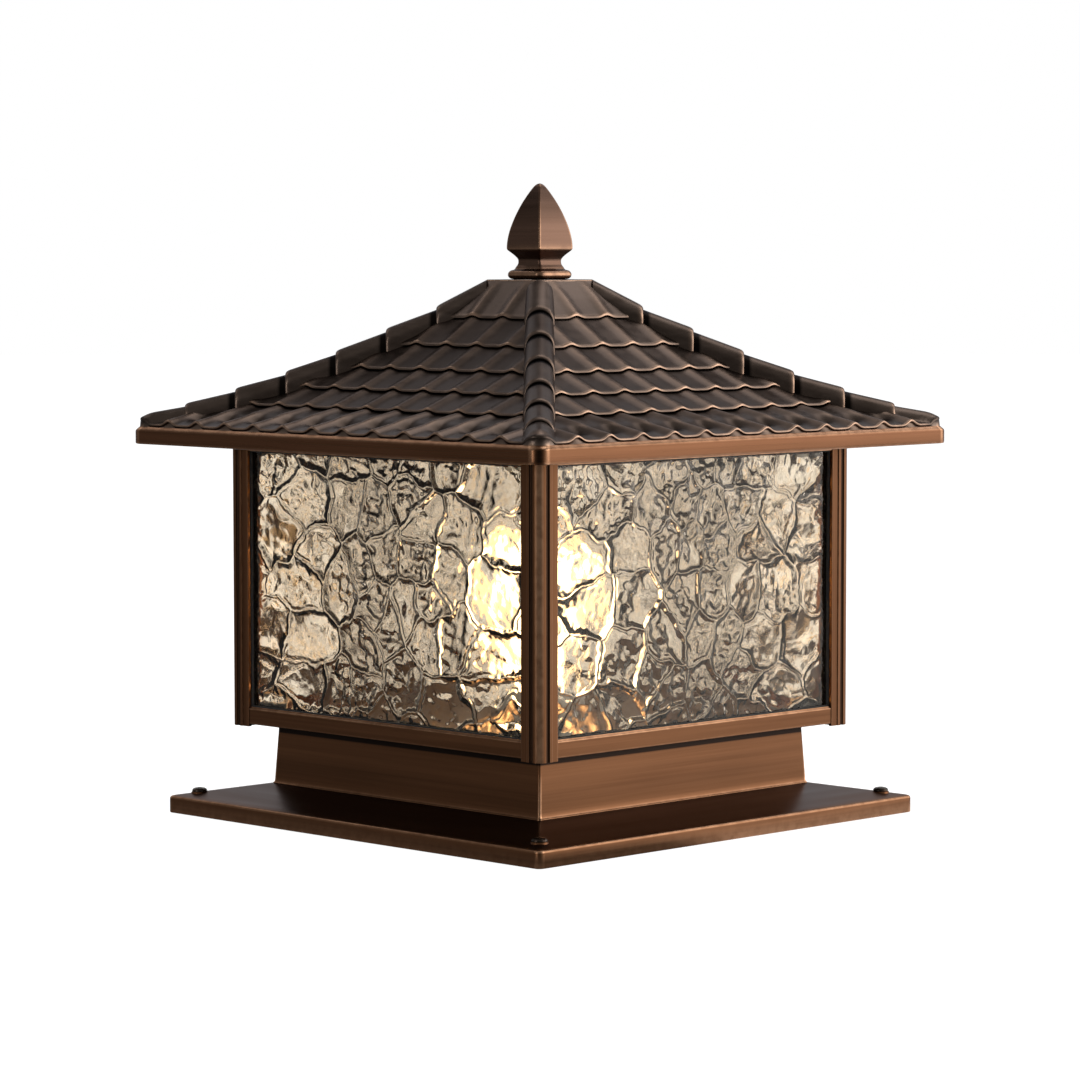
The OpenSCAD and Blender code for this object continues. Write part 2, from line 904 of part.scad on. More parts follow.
module finial() {
    spear_steps = 12;
    ring_steps = 8;
    recess_r = seal_out + body_gap;
    recess_h = seal_t + body_gap;
    color("#7a5038")
        difference() {
            union() {
                square_loft(concat(
                    [[ring_half - 3, z_finial + ring_h - 1]],
                    [
                        [neck_half + 1.6, z_finial + ring_h + 1.2], [neck_half + 0.4, neck_z - 1.6],
                        [neck_half, neck_z], [neck_half + 0.6, neck_z + 1.8],
                        [finial_half - 1, spear_z - 1.6], [finial_half - 0.2, spear_z - 0.6]
                    ],
                    [
                        for (j = [0 : spear_steps])
                            let (h = j * (z_tip - spear_z) / spear_steps)
                            [spear_half(h), spear_z + h]
                    ]
                ));
                intersection() {
                    square_loft([
                        for (j = [0 : ring_steps])
                            let (h = ring_h * (1 - cos(180 * j / ring_steps)) / 2)
                            [ring_edge(h), z_finial + h]
                    ]);
                    rounded_prism(ring_half, 4, z_finial, z_finial + ring_h);
                }
            }
            translate([0, 0, z_finial - overlap])
                cylinder(h = recess_h + overlap, r = recess_r);
            translate([0, 0, z_finial])
                cylinder(h = recess_h + thread_l, r = stud_r + thread_slip);
        }
}

module holder_bracket() {
    color("#8f8f8b")
        difference() {
            union() {
                translate([-bracket_half - bracket_t, -bracket_w / 2, holder_z - bracket_t])
                    cube([2 * (bracket_half + bracket_t), bracket_w, bracket_t]);
                for (side = [0, 1])
                    mirror([side, 0, 0]) {
                        translate([bracket_half, -bracket_w / 2, holder_z - bracket_t])
                            cube([bracket_t, bracket_w, z_pan - holder_z + bracket_t]);
                        translate([bracket_half, -bracket_w / 2, z_pan - bracket_t])
                            cube([bracket_t + bracket_foot, bracket_w, bracket_t]);
                    }
            }
            for (x = [-holder_screw_at, holder_screw_at])
                translate([x, 0, holder_z - bracket_t - overlap])
                    cylinder(h = bracket_t + 2 * overlap, r = body_screw_r + slip);
            for (x = [-bracket_screw_at, bracket_screw_at])
                translate([x, 0, z_pan - bracket_t - overlap])
                    cylinder(h = bracket_t + 2 * overlap, r = body_screw_r + thread_slip);
        }
}

module bracket_screws() {
    color("#8a8a88")
        for (x = [-bracket_screw_at, bracket_screw_at])
            translate([x, 0, z_pan_top])
                screw(3.8, 2.6, body_screw_r, pan_t + bracket_t + 2);
}

module lampholder_body() {
    color("#e9e4d8")
        difference() {
            rotate_extrude()
                polygon([
                    [0, holder_z], [holder_r, holder_z], [holder_r, z_holder - 25],
                    [collar_r, z_holder - 22], [collar_r, z_holder - 1], [collar_r - 1, z_holder],
                    [socket_r, z_holder], [socket_r, z_socket], [0, z_socket]
                ]);
            for (x = [-holder_screw_at, holder_screw_at])
                translate([x, 0, holder_z - overlap])
                    cylinder(h = 10 + overlap, r = body_screw_r + thread_slip);
            for (x = [-lead_x, lead_x])
                translate([x, holder_r - 4.5, holder_z - overlap])
                    cylinder(h = 6 + overlap, r = lead_r + slip);
        }
}

module lampholder_shell() {
    color("#c9a24a")
        translate([0, 0, z_socket])
            difference() {
                cylinder(h = z_holder - z_socket - 3, r = shell_r + 0.9);
                translate([0, 0, -overlap])
                    cylinder(h = holder_h, r = shell_r);
            }
}

module lampholder_contact() {
    color("#c9a24a")
        translate([0, 0, z_socket]) {
            cylinder(h = 1, r = 8);
            cylinder(h = z_contact - z_socket, r = button_r - 1);
        }
}

module holder_screws() {
    color("#8a8a88")
        for (x = [-holder_screw_at, holder_screw_at])
            translate([x, 0, holder_z - bracket_t])
                rotate([180, 0, 0])
                    screw(3.6, 2.4, body_screw_r, bracket_t + 8);
}

// Outline of the globe, a ball that runs down into a neck
module globe_outline(ball, neck, top) {
    polygon(concat(
        [[0, z_globe], [neck, z_globe], [neck, z_globe + 4]],
        [for (a = [-28 : 8 : 84]) [ball * cos(a), z_ball + ball * sin(a)]],
        [[0, top]]
    ));
}

module bulb_globe() {
    color("#fff3d6", 0.6)
        difference() {
            rotate_extrude()
                globe_outline(globe_r, neck_r, z_ball + globe_r);
            difference() {
                rotate_extrude()
                    globe_outline(globe_r - globe_t, neck_r - globe_t, z_ball + globe_r - globe_t);
                cylinder(h = z_globe + globe_t, r = neck_r);
            }
            cylinder(h = z_globe + 2 * globe_t, r = 4);
        }
}

module bulb_stem() {
    stem_top = filament_low + filament_h + 1;
    color("#e8e8e8", 0.7) {
        translate([0, 0, z_globe - 3])
            cylinder(h = 20, r = 3.8);
        translate([0, 0, z_globe])
            cylinder(h = stem_top - z_globe, r = 1.2);
        for (z = [filament_low - 1, stem_top - 1])
            translate([0, 0, z])
                cylinder(h = 1, r = filament_at + 2);
    }
}

module bulb_filaments() {
    color("#ffd98a")
        for (turn = [0 : 90 : 270])
            rotate([0, 0, turn])
                translate([filament_at, 0, filament_low])
                    cylinder(h = filament_h, r = 1.1);
}

module bulb_cap() {
    color("#c8c6bf")
        difference() {
            union() {
                translate([0, 0, z_cap])
                    cylinder(h = z_globe - z_cap, r = cap_r);
                translate([0, 0, z_cap - 2])
                    cylinder(h = 2, r1 = 7, r2 = cap_r - 0.6);
            }
            translate([0, 0, z_cap])
                cylinder(h = holder_h, r = cap_r - cap_t);
        }
}

module bulb_contact() {
    color("#b9b9b4")
        translate([0, 0, z_tip_low])
            cylinder(h = z_cap - 2 - z_tip_low, r = button_r);
}

module terminal_block() {
    color("#e9e4d8")
        difference() {
            translate([-block_size[0] / 2, block_y - block_size[1] / 2, z_foot])
                cube(block_size);
            for (x = [-pole_pitch / 2, pole_pitch / 2])
                translate([x, block_y, z_foot - overlap])
                    cylinder(h = block_size[2] + 2 * overlap, r = small_screw_r + slip);
            for (x = [-pole_pitch, 0, pole_pitch])
                translate([x, block_y - block_size[1] / 2 - overlap, z_foot + 7]) {
                    rotate([-90, 0, 0])
                        cylinder(h = 8 + overlap, r = lead_r + slip);
                    translate([0, block_size[1] + 2 * overlap, 0])
                        rotate([90, 0, 0])
                            cylinder(h = 6 + overlap, r = 2.2);
                    translate([0, overlap + 4, 0])
                        cylinder(h = block_size[2], r = small_screw_r + thread_slip);
                }
        }
}

module clamp_screws() {
    color("#b9b9b4")
        for (x = [-pole_pitch, 0, pole_pitch])
            translate([x, block_y - block_size[1] / 2 + 4, z_foot + block_size[2]])
                screw(2.4, 1.4, small_screw_r, block_size[2] - 7 - lead_r - slip);
}

module block_screws() {
    color("#8a8a88")
        for (x = [-pole_pitch / 2, pole_pitch / 2])
            translate([x, block_y, z_foot + block_size[2]])
                screw(2.4, 1.6, small_screw_r, block_size[2] + base_wall);
}

module earth_screw() {
    color("#b9b9b4")
        translate([earth_at[0], earth_at[1], z_foot + 2])
            screw(3.8, 2.6, body_screw_r, 2 + base_wall);
}

// Round lead through the points of a path, with no stretch of it level across the lamp
module lead(path) {
    part_steps = 4;
    spans = len(path) - 1;
    line = concat(
        [for (i = [0 : spans - 1]) for (j = [0 : part_steps - 1]) curve(path, i, j / part_steps)],
        [path[spans]]
    );
    count = len(line);
    points = [
        for (n = [0 : count - 1])
            let (ahead = line[min(n + 1, count - 1)] - line[max(n - 1, 0)])
            let (u = cross(ahead, [0.3, 0.2, 1]))
            let (w = cross(ahead, u))
            for (a = [0 : lead_sides - 1])
                line[n] + lead_r * (
                    cos(360 * a / lead_sides) * u / norm(u) + sin(360 * a / lead_sides) * w / norm(w)
                )
    ];
    tube = [
        for (n = [0 : count - 2])
            for (a = [0 : lead_sides - 1])
                for (side = [0, 1])
                    let (b = (a + 1) % lead_sides)
                    let (here = n * lead_sides)
                    let (next = here + lead_sides)
                    side == 0 ? [here + b, here + a, next + a] : [here + b, next + a, next + b]
    ];
    first = [[for (a = [0 : lead_sides - 1]) a]];
    end = [[for (a = [lead_sides - 1 : -1 : 0]) (count - 1) * lead_sides + a]];
    polyhedron(points, concat(first, tube, end));
}

// Path of a lead from a pole of the terminal block up into the foot of the lampholder
function holder_path(pole_x, x) = [
    [pole_x, block_y - block_size[1] / 2 + 2, z_foot + 7],
    [pole_x, block_y - block_size[1] / 2 - 6, z_foot + 6.5],
    [(pole_x + x) / 2, (block_y + holder_r) / 2 - 4, z_foot + 4],
    [x, holder_r - 1.5, z_foot + 3.6],
    [x, holder_r - 4.5, holder_z - 1],
    [x, holder_r - 4.5, holder_z + 5]
];

module lead_live() {
    color("#6b3a1e")
        lead(holder_path(-pole_pitch, -lead_x));
}

module lead_neutral() {
    color("#2f5f9e")
        lead(holder_path(0, lead_x));
}

module lead_earth() {
    tag_z = z_foot + 1;
    color("#7f9a2a") {
        lead([
            [pole_pitch, block_y - block_size[1] / 2 + 2, z_foot + 7],
            [pole_pitch, block_y - block_size[1] / 2 - 6, z_foot + 6.5],
            [pole_pitch + 8, block_y - block_size[1] / 2 - 12, z_foot + 4],
            [earth_at[0] - 12, earth_at[1] + 4, z_foot + 2],
            [earth_at[0] - 5, earth_at[1], tag_z]
        ]);
        translate([earth_at[0], earth_at[1], z_foot])
            difference() {
                cylinder(h = 2, r = 5.4);
                translate([0, 0, -overlap])
                    cylinder(h = 2 + 2 * overlap, r = body_screw_r + slip);
            }
    }
}

base_plate();
cable_gland();
gland_nut();
gland_seal();
pedestal();
pedestal_screws();
floor_pan();
body_screws();
pan_screws();
bottom_rail(0);  // bottom_rail_front
bottom_rail(1);  // bottom_rail_right
bottom_rail(2);  // bottom_rail_back
bottom_rail(3);  // bottom_rail_left
top_rail(0);  // top_rail_front
top_rail(1);  // top_rail_right
top_rail(2);  // top_rail_back
top_rail(3);  // top_rail_left
corner_post(0);  // corner_post_front_right
corner_post(1);  // corner_post_back_right
corner_post(2);  // corner_post_back_left
corner_post(3);  // corner_post_front_left
glass_pane(0);  // glass_pane_front
glass_pane(1);  // glass_pane_right
glass_pane(2);  // glass_pane_back
glass_pane(3);  // glass_pane_left
pane_gasket(0);  // pane_gasket_front
pane_gasket(1);  // pane_gasket_right
pane_gasket(2);  // pane_gasket_back
pane_gasket(3);  // pane_gasket_left
low_cleats();
top_cleats();
post_screws();
rail_screws();
crossbar();
crossbar_screws();
center_stud();
stud_nuts();
roof_gasket();
roof_shell();
finial_seal();
finial();
holder_bracket();
bracket_screws();
lampholder_body();
lampholder_shell();
lampholder_contact();
holder_screws();
bulb_globe();
bulb_stem();
bulb_filaments();
bulb_cap();
bulb_contact();
terminal_block();
clamp_screws();
block_screws();
earth_screw();
lead_live();
lead_neutral();
lead_earth();
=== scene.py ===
"""Pillar light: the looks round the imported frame. Lengths in the shape code are millimetres."""

import json
import math

import bmesh
import bpy
import numpy as np
from mathutils import Matrix, Vector

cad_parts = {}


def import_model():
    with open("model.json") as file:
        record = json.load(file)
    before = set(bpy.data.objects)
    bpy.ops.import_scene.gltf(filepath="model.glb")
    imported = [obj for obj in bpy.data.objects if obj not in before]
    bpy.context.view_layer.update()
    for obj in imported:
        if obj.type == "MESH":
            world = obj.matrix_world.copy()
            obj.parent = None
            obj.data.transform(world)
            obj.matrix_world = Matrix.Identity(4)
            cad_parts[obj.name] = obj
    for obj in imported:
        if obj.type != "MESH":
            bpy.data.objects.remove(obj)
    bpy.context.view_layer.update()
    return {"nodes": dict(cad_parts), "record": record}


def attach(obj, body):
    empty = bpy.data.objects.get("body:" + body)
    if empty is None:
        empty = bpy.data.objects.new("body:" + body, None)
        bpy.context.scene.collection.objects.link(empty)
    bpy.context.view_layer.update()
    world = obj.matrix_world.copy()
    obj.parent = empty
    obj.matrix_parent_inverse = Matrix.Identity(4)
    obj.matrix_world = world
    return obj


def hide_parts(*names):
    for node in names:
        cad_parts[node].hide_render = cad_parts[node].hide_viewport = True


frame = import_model()
rng = np.random.default_rng(41)
MM = 0.001

# Heights and half widths of the solids
BASE_HALF, RIM_H, FOOT_HALF, Z_FOOT, Z_DECK = 137.4, 8.7, 98.0, 15.5, 12.5
FIX_AT, SEAT_R, Z_PAD = 125.5, 4.3, 11.0
PED_TOP, Z_BODY = 96.3, 47.2
BODY_HALF, RAIL_HALF, GROOVE_AT, GROOVE_IN, GROOVE_BACK = 113.8, 100.4, 2.6, 9.4, 11.0
LEDGE_IN, LEDGE_HALF = 20.0, 93.6
Z_PAN, Z_SILL, Z_HEAD, Z_WEB, Z_FRAME = 49.4, 56.3, 189.0, 192.0, 194.2
PANE_HALF, PANE_OUT, PANE_IN, PANE_LOW, PANE_TOP, CELL = 102.2, 3.7, 8.3, 50.6, 190.8, 27.0
POST_W, POST_SLOT, FLUTE_AT, FLUTE_OUT, FLUTE_R = 13.4, 10.4, 6.0, 0.5, 1.3
ROOF_HALF, FASCIA_IN, Z_FASCIA, Z_FASCIA_TOP, Z_TILES = 150.0, 147.0, 192.4, 199.0, 201.6
Z_SOFFIT, SOFFIT_HALF, Z_TOP_RAIL_CUT = 196.0, 98.0, 187.5
Z_PLATEAU, PLATEAU_HALF, BORE_R, COURSE_RUN = 276.9, 19.4, 4.5, 18.4
COURSE_FALL = [18, 14, 12, 10, 9, 5.5, 4.7]
HIP_FALL = [13.5, 11.5, 11.5, 10.5, 8.7, 7.9, 5.4]
TILE_PITCH, TILE_STEP, EAVE_RISE, LIP_STEP, HIP_R, CORNER_R, NOSE_R = 22.2, 1.15, 2.5, 2.0, 7.7, 6.5, 4.4
Z_FINIAL, Z_TIP, STUD_R = 277.2, 326.5, 4.05
SIDES = ("front", "right", "back", "left")
CORNERS = ("front_right", "back_right", "back_left", "front_left")

# How a material or a relief is made
COPPER_RUB_AND_HIGHLIGHT = 0.8
LENGTH_SPREAD = 0.35
COARSE_STEP, FINE_STEP, QUICK_STEP = 1.1, 0.55, 0.9
RELIEF_LOW, RELIEF_HIGH, RELIEF_DEPTH, RELIEF_GAIN = -0.25, 2.1, 2.3, 1.05


# Mesh helpers
class Shape:
    """Collects closed shapes for one piece. The per-point value is 1 on rubbed edges and painted highlights,
    and -1 in painted shade.
    """

    def __init__(self):
        self.verts, self.faces, self.wear, self.count = [], [], [], 0

    def add(self, verts, faces, wear=0.0):
        verts = np.asarray(verts, float)
        self.verts.append(verts)
        self.faces += [tuple(i + self.count for i in f) for f in faces]
        self.wear.append(np.broadcast_to(np.asarray(wear, float), (len(verts),)))
        self.count += len(verts)

    def loft(self, rings, wear=None, closed=False):
        """Skin through rings of points. An open one gets a fan at each end."""
        n, m = len(rings[0]), len(rings)
        verts = np.vstack(rings)
        j = np.arange(n)
        k = (j + 1) % n
        quads = []
        for i in range(m if closed else m - 1):
            a, b = i * n, (i + 1) % m * n
            quads.append(np.column_stack([a + j, a + k, b + k, b + j]))
        faces = [tuple(q) for q in np.vstack(quads).tolist()]
        w = np.zeros(len(verts)) if wear is None else np.concatenate(
            [np.broadcast_to(np.asarray(x, float), (n,)) for x in wear])
        if not closed:
            ends = np.array([rings[0].mean(0), rings[-1].mean(0)])
            verts = np.vstack([verts, ends])
            w = np.append(w, [0, 0])
            c0, c1, last = n * m, n * m + 1, (m - 1) * n
            faces += [(c0, int(b), int(a)) for a, b in zip(j, k)]
            faces += [(c1, int(last + a), int(last + b)) for a, b in zip(j, k)]
        self.add(verts, faces, w)

    def bar(self, outline, ends, place, wear=None):
        """Outline of (u, w) points carried from ends[0] to ends[1]; place gives x, y, z."""
        n = len(outline)
        rings = [place(outline[:, 0], outline[:, 1], np.full(n, a)) for a in ends]
        verts = np.vstack(rings)
        faces = []
        for i in range(len(ends) - 1):
            faces += [(i * n + j, i * n + (j + 1) % n, (i + 1) * n + (j + 1) % n, (i + 1) * n + j)
                      for j in range(n)]
        faces += [tuple(range(n))[::-1], tuple(range((len(ends) - 1) * n, len(ends) * n))]
        w = np.zeros(n) if wear is None else wear
        self.add(verts, faces, np.tile(w, len(ends)))

    def piece(self, name, body, look, replaces=(), smooth=35, fix_normals=True):
        mesh = bpy.data.meshes.new(name)
        mesh.from_pydata((np.vstack(self.verts) * MM).tolist(), [], self.faces)
        mesh.validate()
        if fix_normals:
            bm = bmesh.new()
            bm.from_mesh(mesh)
            bmesh.ops.recalc_face_normals(bm, faces=bm.faces)
            bm.to_mesh(mesh)
            bm.free()
        layer = mesh.attributes.new("wear", "FLOAT", "POINT")
        layer.data.foreach_set("value", np.concatenate(self.wear).astype(np.float32))
        mesh.shade_smooth()
        mesh.set_sharp_from_angle(angle=math.radians(smooth))
        obj = bpy.data.objects.new(name, mesh)
        bpy.context.scene.collection.objects.link(obj)
        mesh.materials.append(look)
        if replaces:
            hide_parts(*replaces)
        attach(obj, body)
        return obj


def ring(s, r, z, n_side=3, n_arc=6, centre=(0, 0)):
    """Rounded square of half side s and corner radius r, anticlockwise from above.

    Three points along a side keep its middle flat: two of them lie close to the corners."""
    r = min(max(r, 0.02), s)
    c = s - r
    steps = np.linspace(-c, c, n_side + 1)
    if n_side == 3:
        steps[1:3] = [-c + min(0.7, 0.4 * c), c - min(0.7, 0.4 * c)]
    side = np.column_stack([steps, np.full(n_side + 1, -s)])
    a = np.radians(np.linspace(-90, 0, n_arc + 1)[1:-1])
    quarter = np.vstack([side, np.column_stack([c + r * np.cos(a), -c + r * np.sin(a)])])
    turns = [quarter]
    for _ in range(3):
        turns.append(np.column_stack([-turns[-1][:, 1], turns[-1][:, 0]]))
    xy = np.vstack(turns) + np.array(centre)
    return np.column_stack([xy, np.broadcast_to(z, (len(xy),))])


def corner_mask(n_side, n_arc):
    """1 on the arcs of a ring, 0 along its sides."""
    quarter = np.zeros(n_side + n_arc)
    quarter[n_side:] = 1
    quarter[0] = 1
    return np.tile(quarter, 4)


def soften(points, radius, steps=4):
    """Rounds the corners of a closed outline. Returns the outline and 1 where it turns."""
    points = np.asarray(points, float)
    n = len(points)
    radius = np.broadcast_to(radius, (n,))
    out, turn = [], []
    for i in range(n):
        p, a, b = points[i], points[i - 1], points[(i + 1) % n]
        la, lb = np.linalg.norm(a - p), np.linalg.norm(b - p)
        d = min(radius[i], 0.45 * la, 0.45 * lb)
        if d < 0.02:
            out.append(p)
            turn.append(0.0)
            continue
        p0, p1 = p + (a - p) / la * d, p + (b - p) / lb * d
        guard0, guard1 = min(0.5, 0.45 * la - d), min(0.5, 0.45 * lb - d)
        if guard0 > 0.1:
            out.append(p0 + (a - p) / la * guard0)
            turn.append(0.0)
        for u in np.linspace(0, 1, steps + 1):
            out.append((1 - u) ** 2 * p0 + 2 * u * (1 - u) * p + u * u * p1)
            turn.append(1.0)
        if guard1 > 0.1:
            out.append(p1 + (b - p) / lb * guard1)
            turn.append(0.0)
    return np.array(out), np.array(turn)


def catmull(points, steps):
    """Smooth curve through points of any width."""
    p = np.asarray(points, float)
    p = np.vstack([2 * p[0] - p[1], p, 2 * p[-1] - p[-2]])
    out = []
    for i in range(1, len(p) - 2):
        for u in np.arange(steps) / steps:
            a, b, c, d = p[i - 1:i + 3]
            out.append(0.5 * (2 * b + (c - a) * u + (2 * a - 5 * b + 4 * c - d) * u * u
                              + (3 * b - a - 3 * c + d) * u ** 3))
    out.append(p[-2])
    return np.array(out)


def side_place(i):
    """Places a section (distance in from the noses, height) along side i."""
    def place(inward, z, along):
        x, y = along, inward - BODY_HALF
        for _ in range(i):
            x, y = -y, x
        return np.column_stack([x, y, z])
    return place


def corner_place(i):
    def place(u, w, z):
        x, y = BODY_HALF - u, w - BODY_HALF
        for _ in range(i):
            x, y = -y, x
        return np.column_stack([x, y, z])
    return place


def ripple(x, z, length, count):
    """Smooth random field of about unit size, from plane waves of about one length."""
    total = np.zeros_like(x)
    for _ in range(count):
        a = rng.uniform(0, 2 * math.pi)
        k = 2 * math.pi / (length * rng.uniform(1 - LENGTH_SPREAD, 1 + LENGTH_SPREAD))
        total += np.cos(k * (x * math.cos(a) + z * math.sin(a)) + rng.uniform(0, 2 * math.pi))
    return total / math.sqrt(count / 2)


# Materials
class Nodes:
    """Builds the nodes of a material, or of the world where its tree is given."""

    def __init__(self, name=None, tree=None):
        if name:
            self.mat = bpy.data.materials.new(name)
            self.mat.use_nodes = True
        self.tree = tree or self.mat.node_tree
        self.tree.nodes.clear()
        self.out = self.tree.nodes.new("ShaderNodeOutputMaterial" if name else "ShaderNodeOutputWorld")

    def make(self, kind, inputs=None, **props):
        node = self.tree.nodes.new("ShaderNode" + kind)
        for key, value in props.items():
            setattr(node, key, value)
        for key, value in (inputs or {}).items():
            self.put(node.inputs[key], value)
        return node

    def put(self, socket, value):
        if isinstance(value, bpy.types.NodeSocket):
            self.tree.links.new(value, socket)
        elif isinstance(value, (tuple, list)) and len(value) == 3 and socket.type == "RGBA":
            socket.default_value = (*value, 1)
        else:
            socket.default_value = value

    def coords(self, scale):
        tex = self.make("TexCoord")
        return self.make("Mapping", {"Vector": tex.outputs["Object"], "Scale": scale}).outputs[0]

    def noise(self, scale, vector_scale=(1, 1, 1), detail=4.0, rough=0.55, warp=0.0):
        return self.make("TexNoise", {
            "Vector": self.coords(vector_scale), "Scale": scale, "Detail": detail,
            "Roughness": rough, "Distortion": warp}).outputs[0]

    def span(self, value, low, high, to_low=0.0, to_high=1.0):
        return self.make("MapRange", {
            "Value": value, "From Min": low, "From Max": high,
            "To Min": to_low, "To Max": to_high}).outputs[0]

    def math(self, op, a, b=0.0):
        node = self.make("Math", operation=op)
        self.put(node.inputs[0], a)
        self.put(node.inputs[1], b)
        return node.outputs[0]

    def mix(self, fac, a, b, kind="MIX"):
        node = self.make("Mix", data_type="RGBA", blend_type=kind)
        self.put(node.inputs[0], fac)
        self.put(node.inputs[6], a)
        self.put(node.inputs[7], b)
        return node.outputs[2]

    def attribute(self, name):
        return self.make("Attribute", attribute_name=name).outputs["Fac"]

    def bump(self, height, strength, distance):
        return self.make("Bump", {"Height": height, "Strength": strength, "Distance": distance}).outputs[0]

    def done(self, shader):
        self.tree.links.new(shader, self.out.inputs["Surface"])
        return getattr(self, "mat", None)


def bronze(name, dark, mid, copper, brush, rough=0.34, tint=(0.7, 0.7, 0.72)):
    """Brushed antique bronze. The per-point value above 0 rubs it to copper, for worn edges and painted
    highlights; below 0 paints it nearly black as painted shade.
    """
    n = Nodes(name)
    patina = n.noise(1.0, tuple(b * 0.12 for b in brush), detail=3.0, rough=0.5)
    cloud = n.noise(9.0, detail=2.0)
    streak = n.noise(1.0, brush, detail=2.5, rough=0.6)
    fine = n.noise(1.0, tuple(2.3 * b for b in brush), detail=1.0, rough=0.5)
    colour = n.mix(n.span(patina, 0.35, 0.65), dark, mid)
    colour = n.mix(n.span(cloud, 0.35, 0.65, 0.0, 0.3), colour, mid)
    streaky = n.mix(n.span(streak, 0.3, 0.7), (0.86, 0.84, 0.82), (1.14, 1.14, 1.14))
    colour = n.mix(1.0, colour, streaky, "MULTIPLY")
    rubbed_and_painted_light = n.attribute("wear")
    scuffs = n.span(n.noise(210.0, detail=3.0), 0.35, 0.62, 0.5, 1.0)
    wear = n.math("MULTIPLY", n.math("MULTIPLY", n.math("MAXIMUM", rubbed_and_painted_light, 0.0), scuffs), COPPER_RUB_AND_HIGHLIGHT)
    # Copper where the per-point value is above 0: worn edges and painted highlights.
    colour = n.mix(wear, colour, copper)
    # Nearly black where the per-point value is below 0: painted shade.
    colour = n.mix(n.math("MAXIMUM", n.math("MULTIPLY", rubbed_and_painted_light, -1.0), 0.0), colour, (0.008, 0.006, 0.005))
    shine = n.span(streak, 0.25, 0.75, rough - 0.05, rough + 0.07)
    shine = n.math("SUBTRACT", shine, n.math("MULTIPLY", wear, 0.06))
    normal = n.bump(n.math("ADD", streak, n.math("MULTIPLY", fine, 0.5)), 0.1, 0.0002)
    shader = n.make("BsdfPrincipled", {
        "Base Color": colour, "Metallic": 1.0, "Roughness": shine, "Specular Tint": tint, "Normal": normal})
    return n.done(shader.outputs[0])


def plain(name, colour, second, metallic=0.0, rough=0.5, scale=60.0, bump=0.1):
    """A two-tone surface with a little relief, for the small and inner parts."""
    n = Nodes(name)
    spots = n.noise(scale, detail=5.0, rough=0.6)
    tone = n.mix(n.span(spots, 0.3, 0.7), colour, second)
    shine = n.span(n.noise(scale * 2.3), 0.3, 0.7, rough - 0.07, rough + 0.07)
    shader = n.make("BsdfPrincipled", {
        "Base Color": tone, "Metallic": metallic, "Roughness": shine, "Normal": n.bump(spots, bump, 0.0003)})
    return n.done(shader.outputs[0])


DARK, MIDTONE, COPPER = (0.078, 0.035, 0.0165), (0.12, 0.053, 0.0245), (0.6, 0.34, 0.2)
ALONG_SIDES, ALONG_POSTS = (7, 7, 480), (600, 600, 7)
looks = {
    "bronze_base": bronze("bronze_base", DARK, MIDTONE, COPPER, ALONG_SIDES),
    "bronze_frame": bronze("bronze_frame", DARK, MIDTONE, COPPER, ALONG_SIDES),
    "bronze_post": bronze("bronze_post", DARK, MIDTONE, COPPER, ALONG_POSTS),
    "bronze_roof": bronze("bronze_roof", (0.06, 0.044, 0.035), (0.1, 0.074, 0.06), (0.4, 0.255, 0.175),
                          (90, 90, 260), rough=0.33, tint=(0.6, 0.6, 0.62)),
    "bronze_fascia": bronze("bronze_fascia", DARK, (0.13, 0.057, 0.03), COPPER, ALONG_SIDES, rough=0.28),
    "bronze_finial": bronze("bronze_finial", (0.062, 0.036, 0.025), (0.1, 0.058, 0.041), COPPER,
                            (12, 12, 380), rough=0.28),
    # A lighter copy of the bronze for the inside pan, painted as lit by the lamp.
    "bronze_inside_painted_lit": bronze("bronze_inside_painted_lit", (0.36, 0.23, 0.14), (0.52, 0.36, 0.23), COPPER,
                            (50, 50, 50), rough=0.36),
    "black_rubber": plain("black_rubber", (0.012, 0.012, 0.012), (0.022, 0.021, 0.02), rough=0.75,
                          scale=300.0),
    "plated_steel": plain("plated_steel", (0.42, 0.4, 0.36), (0.56, 0.54, 0.49), 1.0, 0.38, 90.0, 0.12),
    "screw_steel": plain("screw_steel", (0.4, 0.38, 0.34), (0.52, 0.5, 0.46), 1.0, 0.34, 220.0, 0.1),
    "holder_white": plain("holder_white", (0.78, 0.75, 0.67), (0.84, 0.82, 0.75), rough=0.18, scale=25.0,
                          bump=0.03),
    "contact_brass": plain("contact_brass", (0.62, 0.42, 0.15), (0.74, 0.54, 0.24), 1.0, 0.3, 120.0, 0.05),
    "cap_metal": plain("cap_metal", (0.62, 0.61, 0.58), (0.74, 0.73, 0.7), 1.0, 0.28, 160.0, 0.08),
    "gland_black": plain("gland_black", (0.02, 0.02, 0.022), (0.03, 0.03, 0.03), rough=0.5, scale=240.0),
    "lead_brown": plain("lead_brown", (0.2, 0.09, 0.04), (0.24, 0.11, 0.05), rough=0.4, scale=200.0,
                        bump=0.05),
    "lead_blue": plain("lead_blue", (0.05, 0.14, 0.42), (0.07, 0.18, 0.48), rough=0.4, scale=200.0,
                       bump=0.05),
    "screw_dark": plain("screw_dark", (0.02, 0.016, 0.013), (0.05, 0.035, 0.027), 1.0, 0.3, 260.0, 0.12),
}


def glass_look():
    n = Nodes("ripple_glass")
    tint = n.mix(n.span(n.noise(30.0, detail=3.0), 0.3, 0.7), (0.73, 0.685, 0.61), (0.79, 0.755, 0.69))
    fine = n.bump(n.noise(420.0, detail=3.0, warp=0.8), 0.12, 0.0004)
    satin = n.span(n.noise(60.0), 0.3, 0.7, 0.01, 0.06)
    shader = n.make("BsdfPrincipled", {
        "Base Color": tint, "Roughness": satin, "IOR": 1.49, "Transmission Weight": 1.0, "Normal": fine,
        "Specular Tint": (0.42, 0.36, 0.29)})
    return n.done(shader.outputs[0])


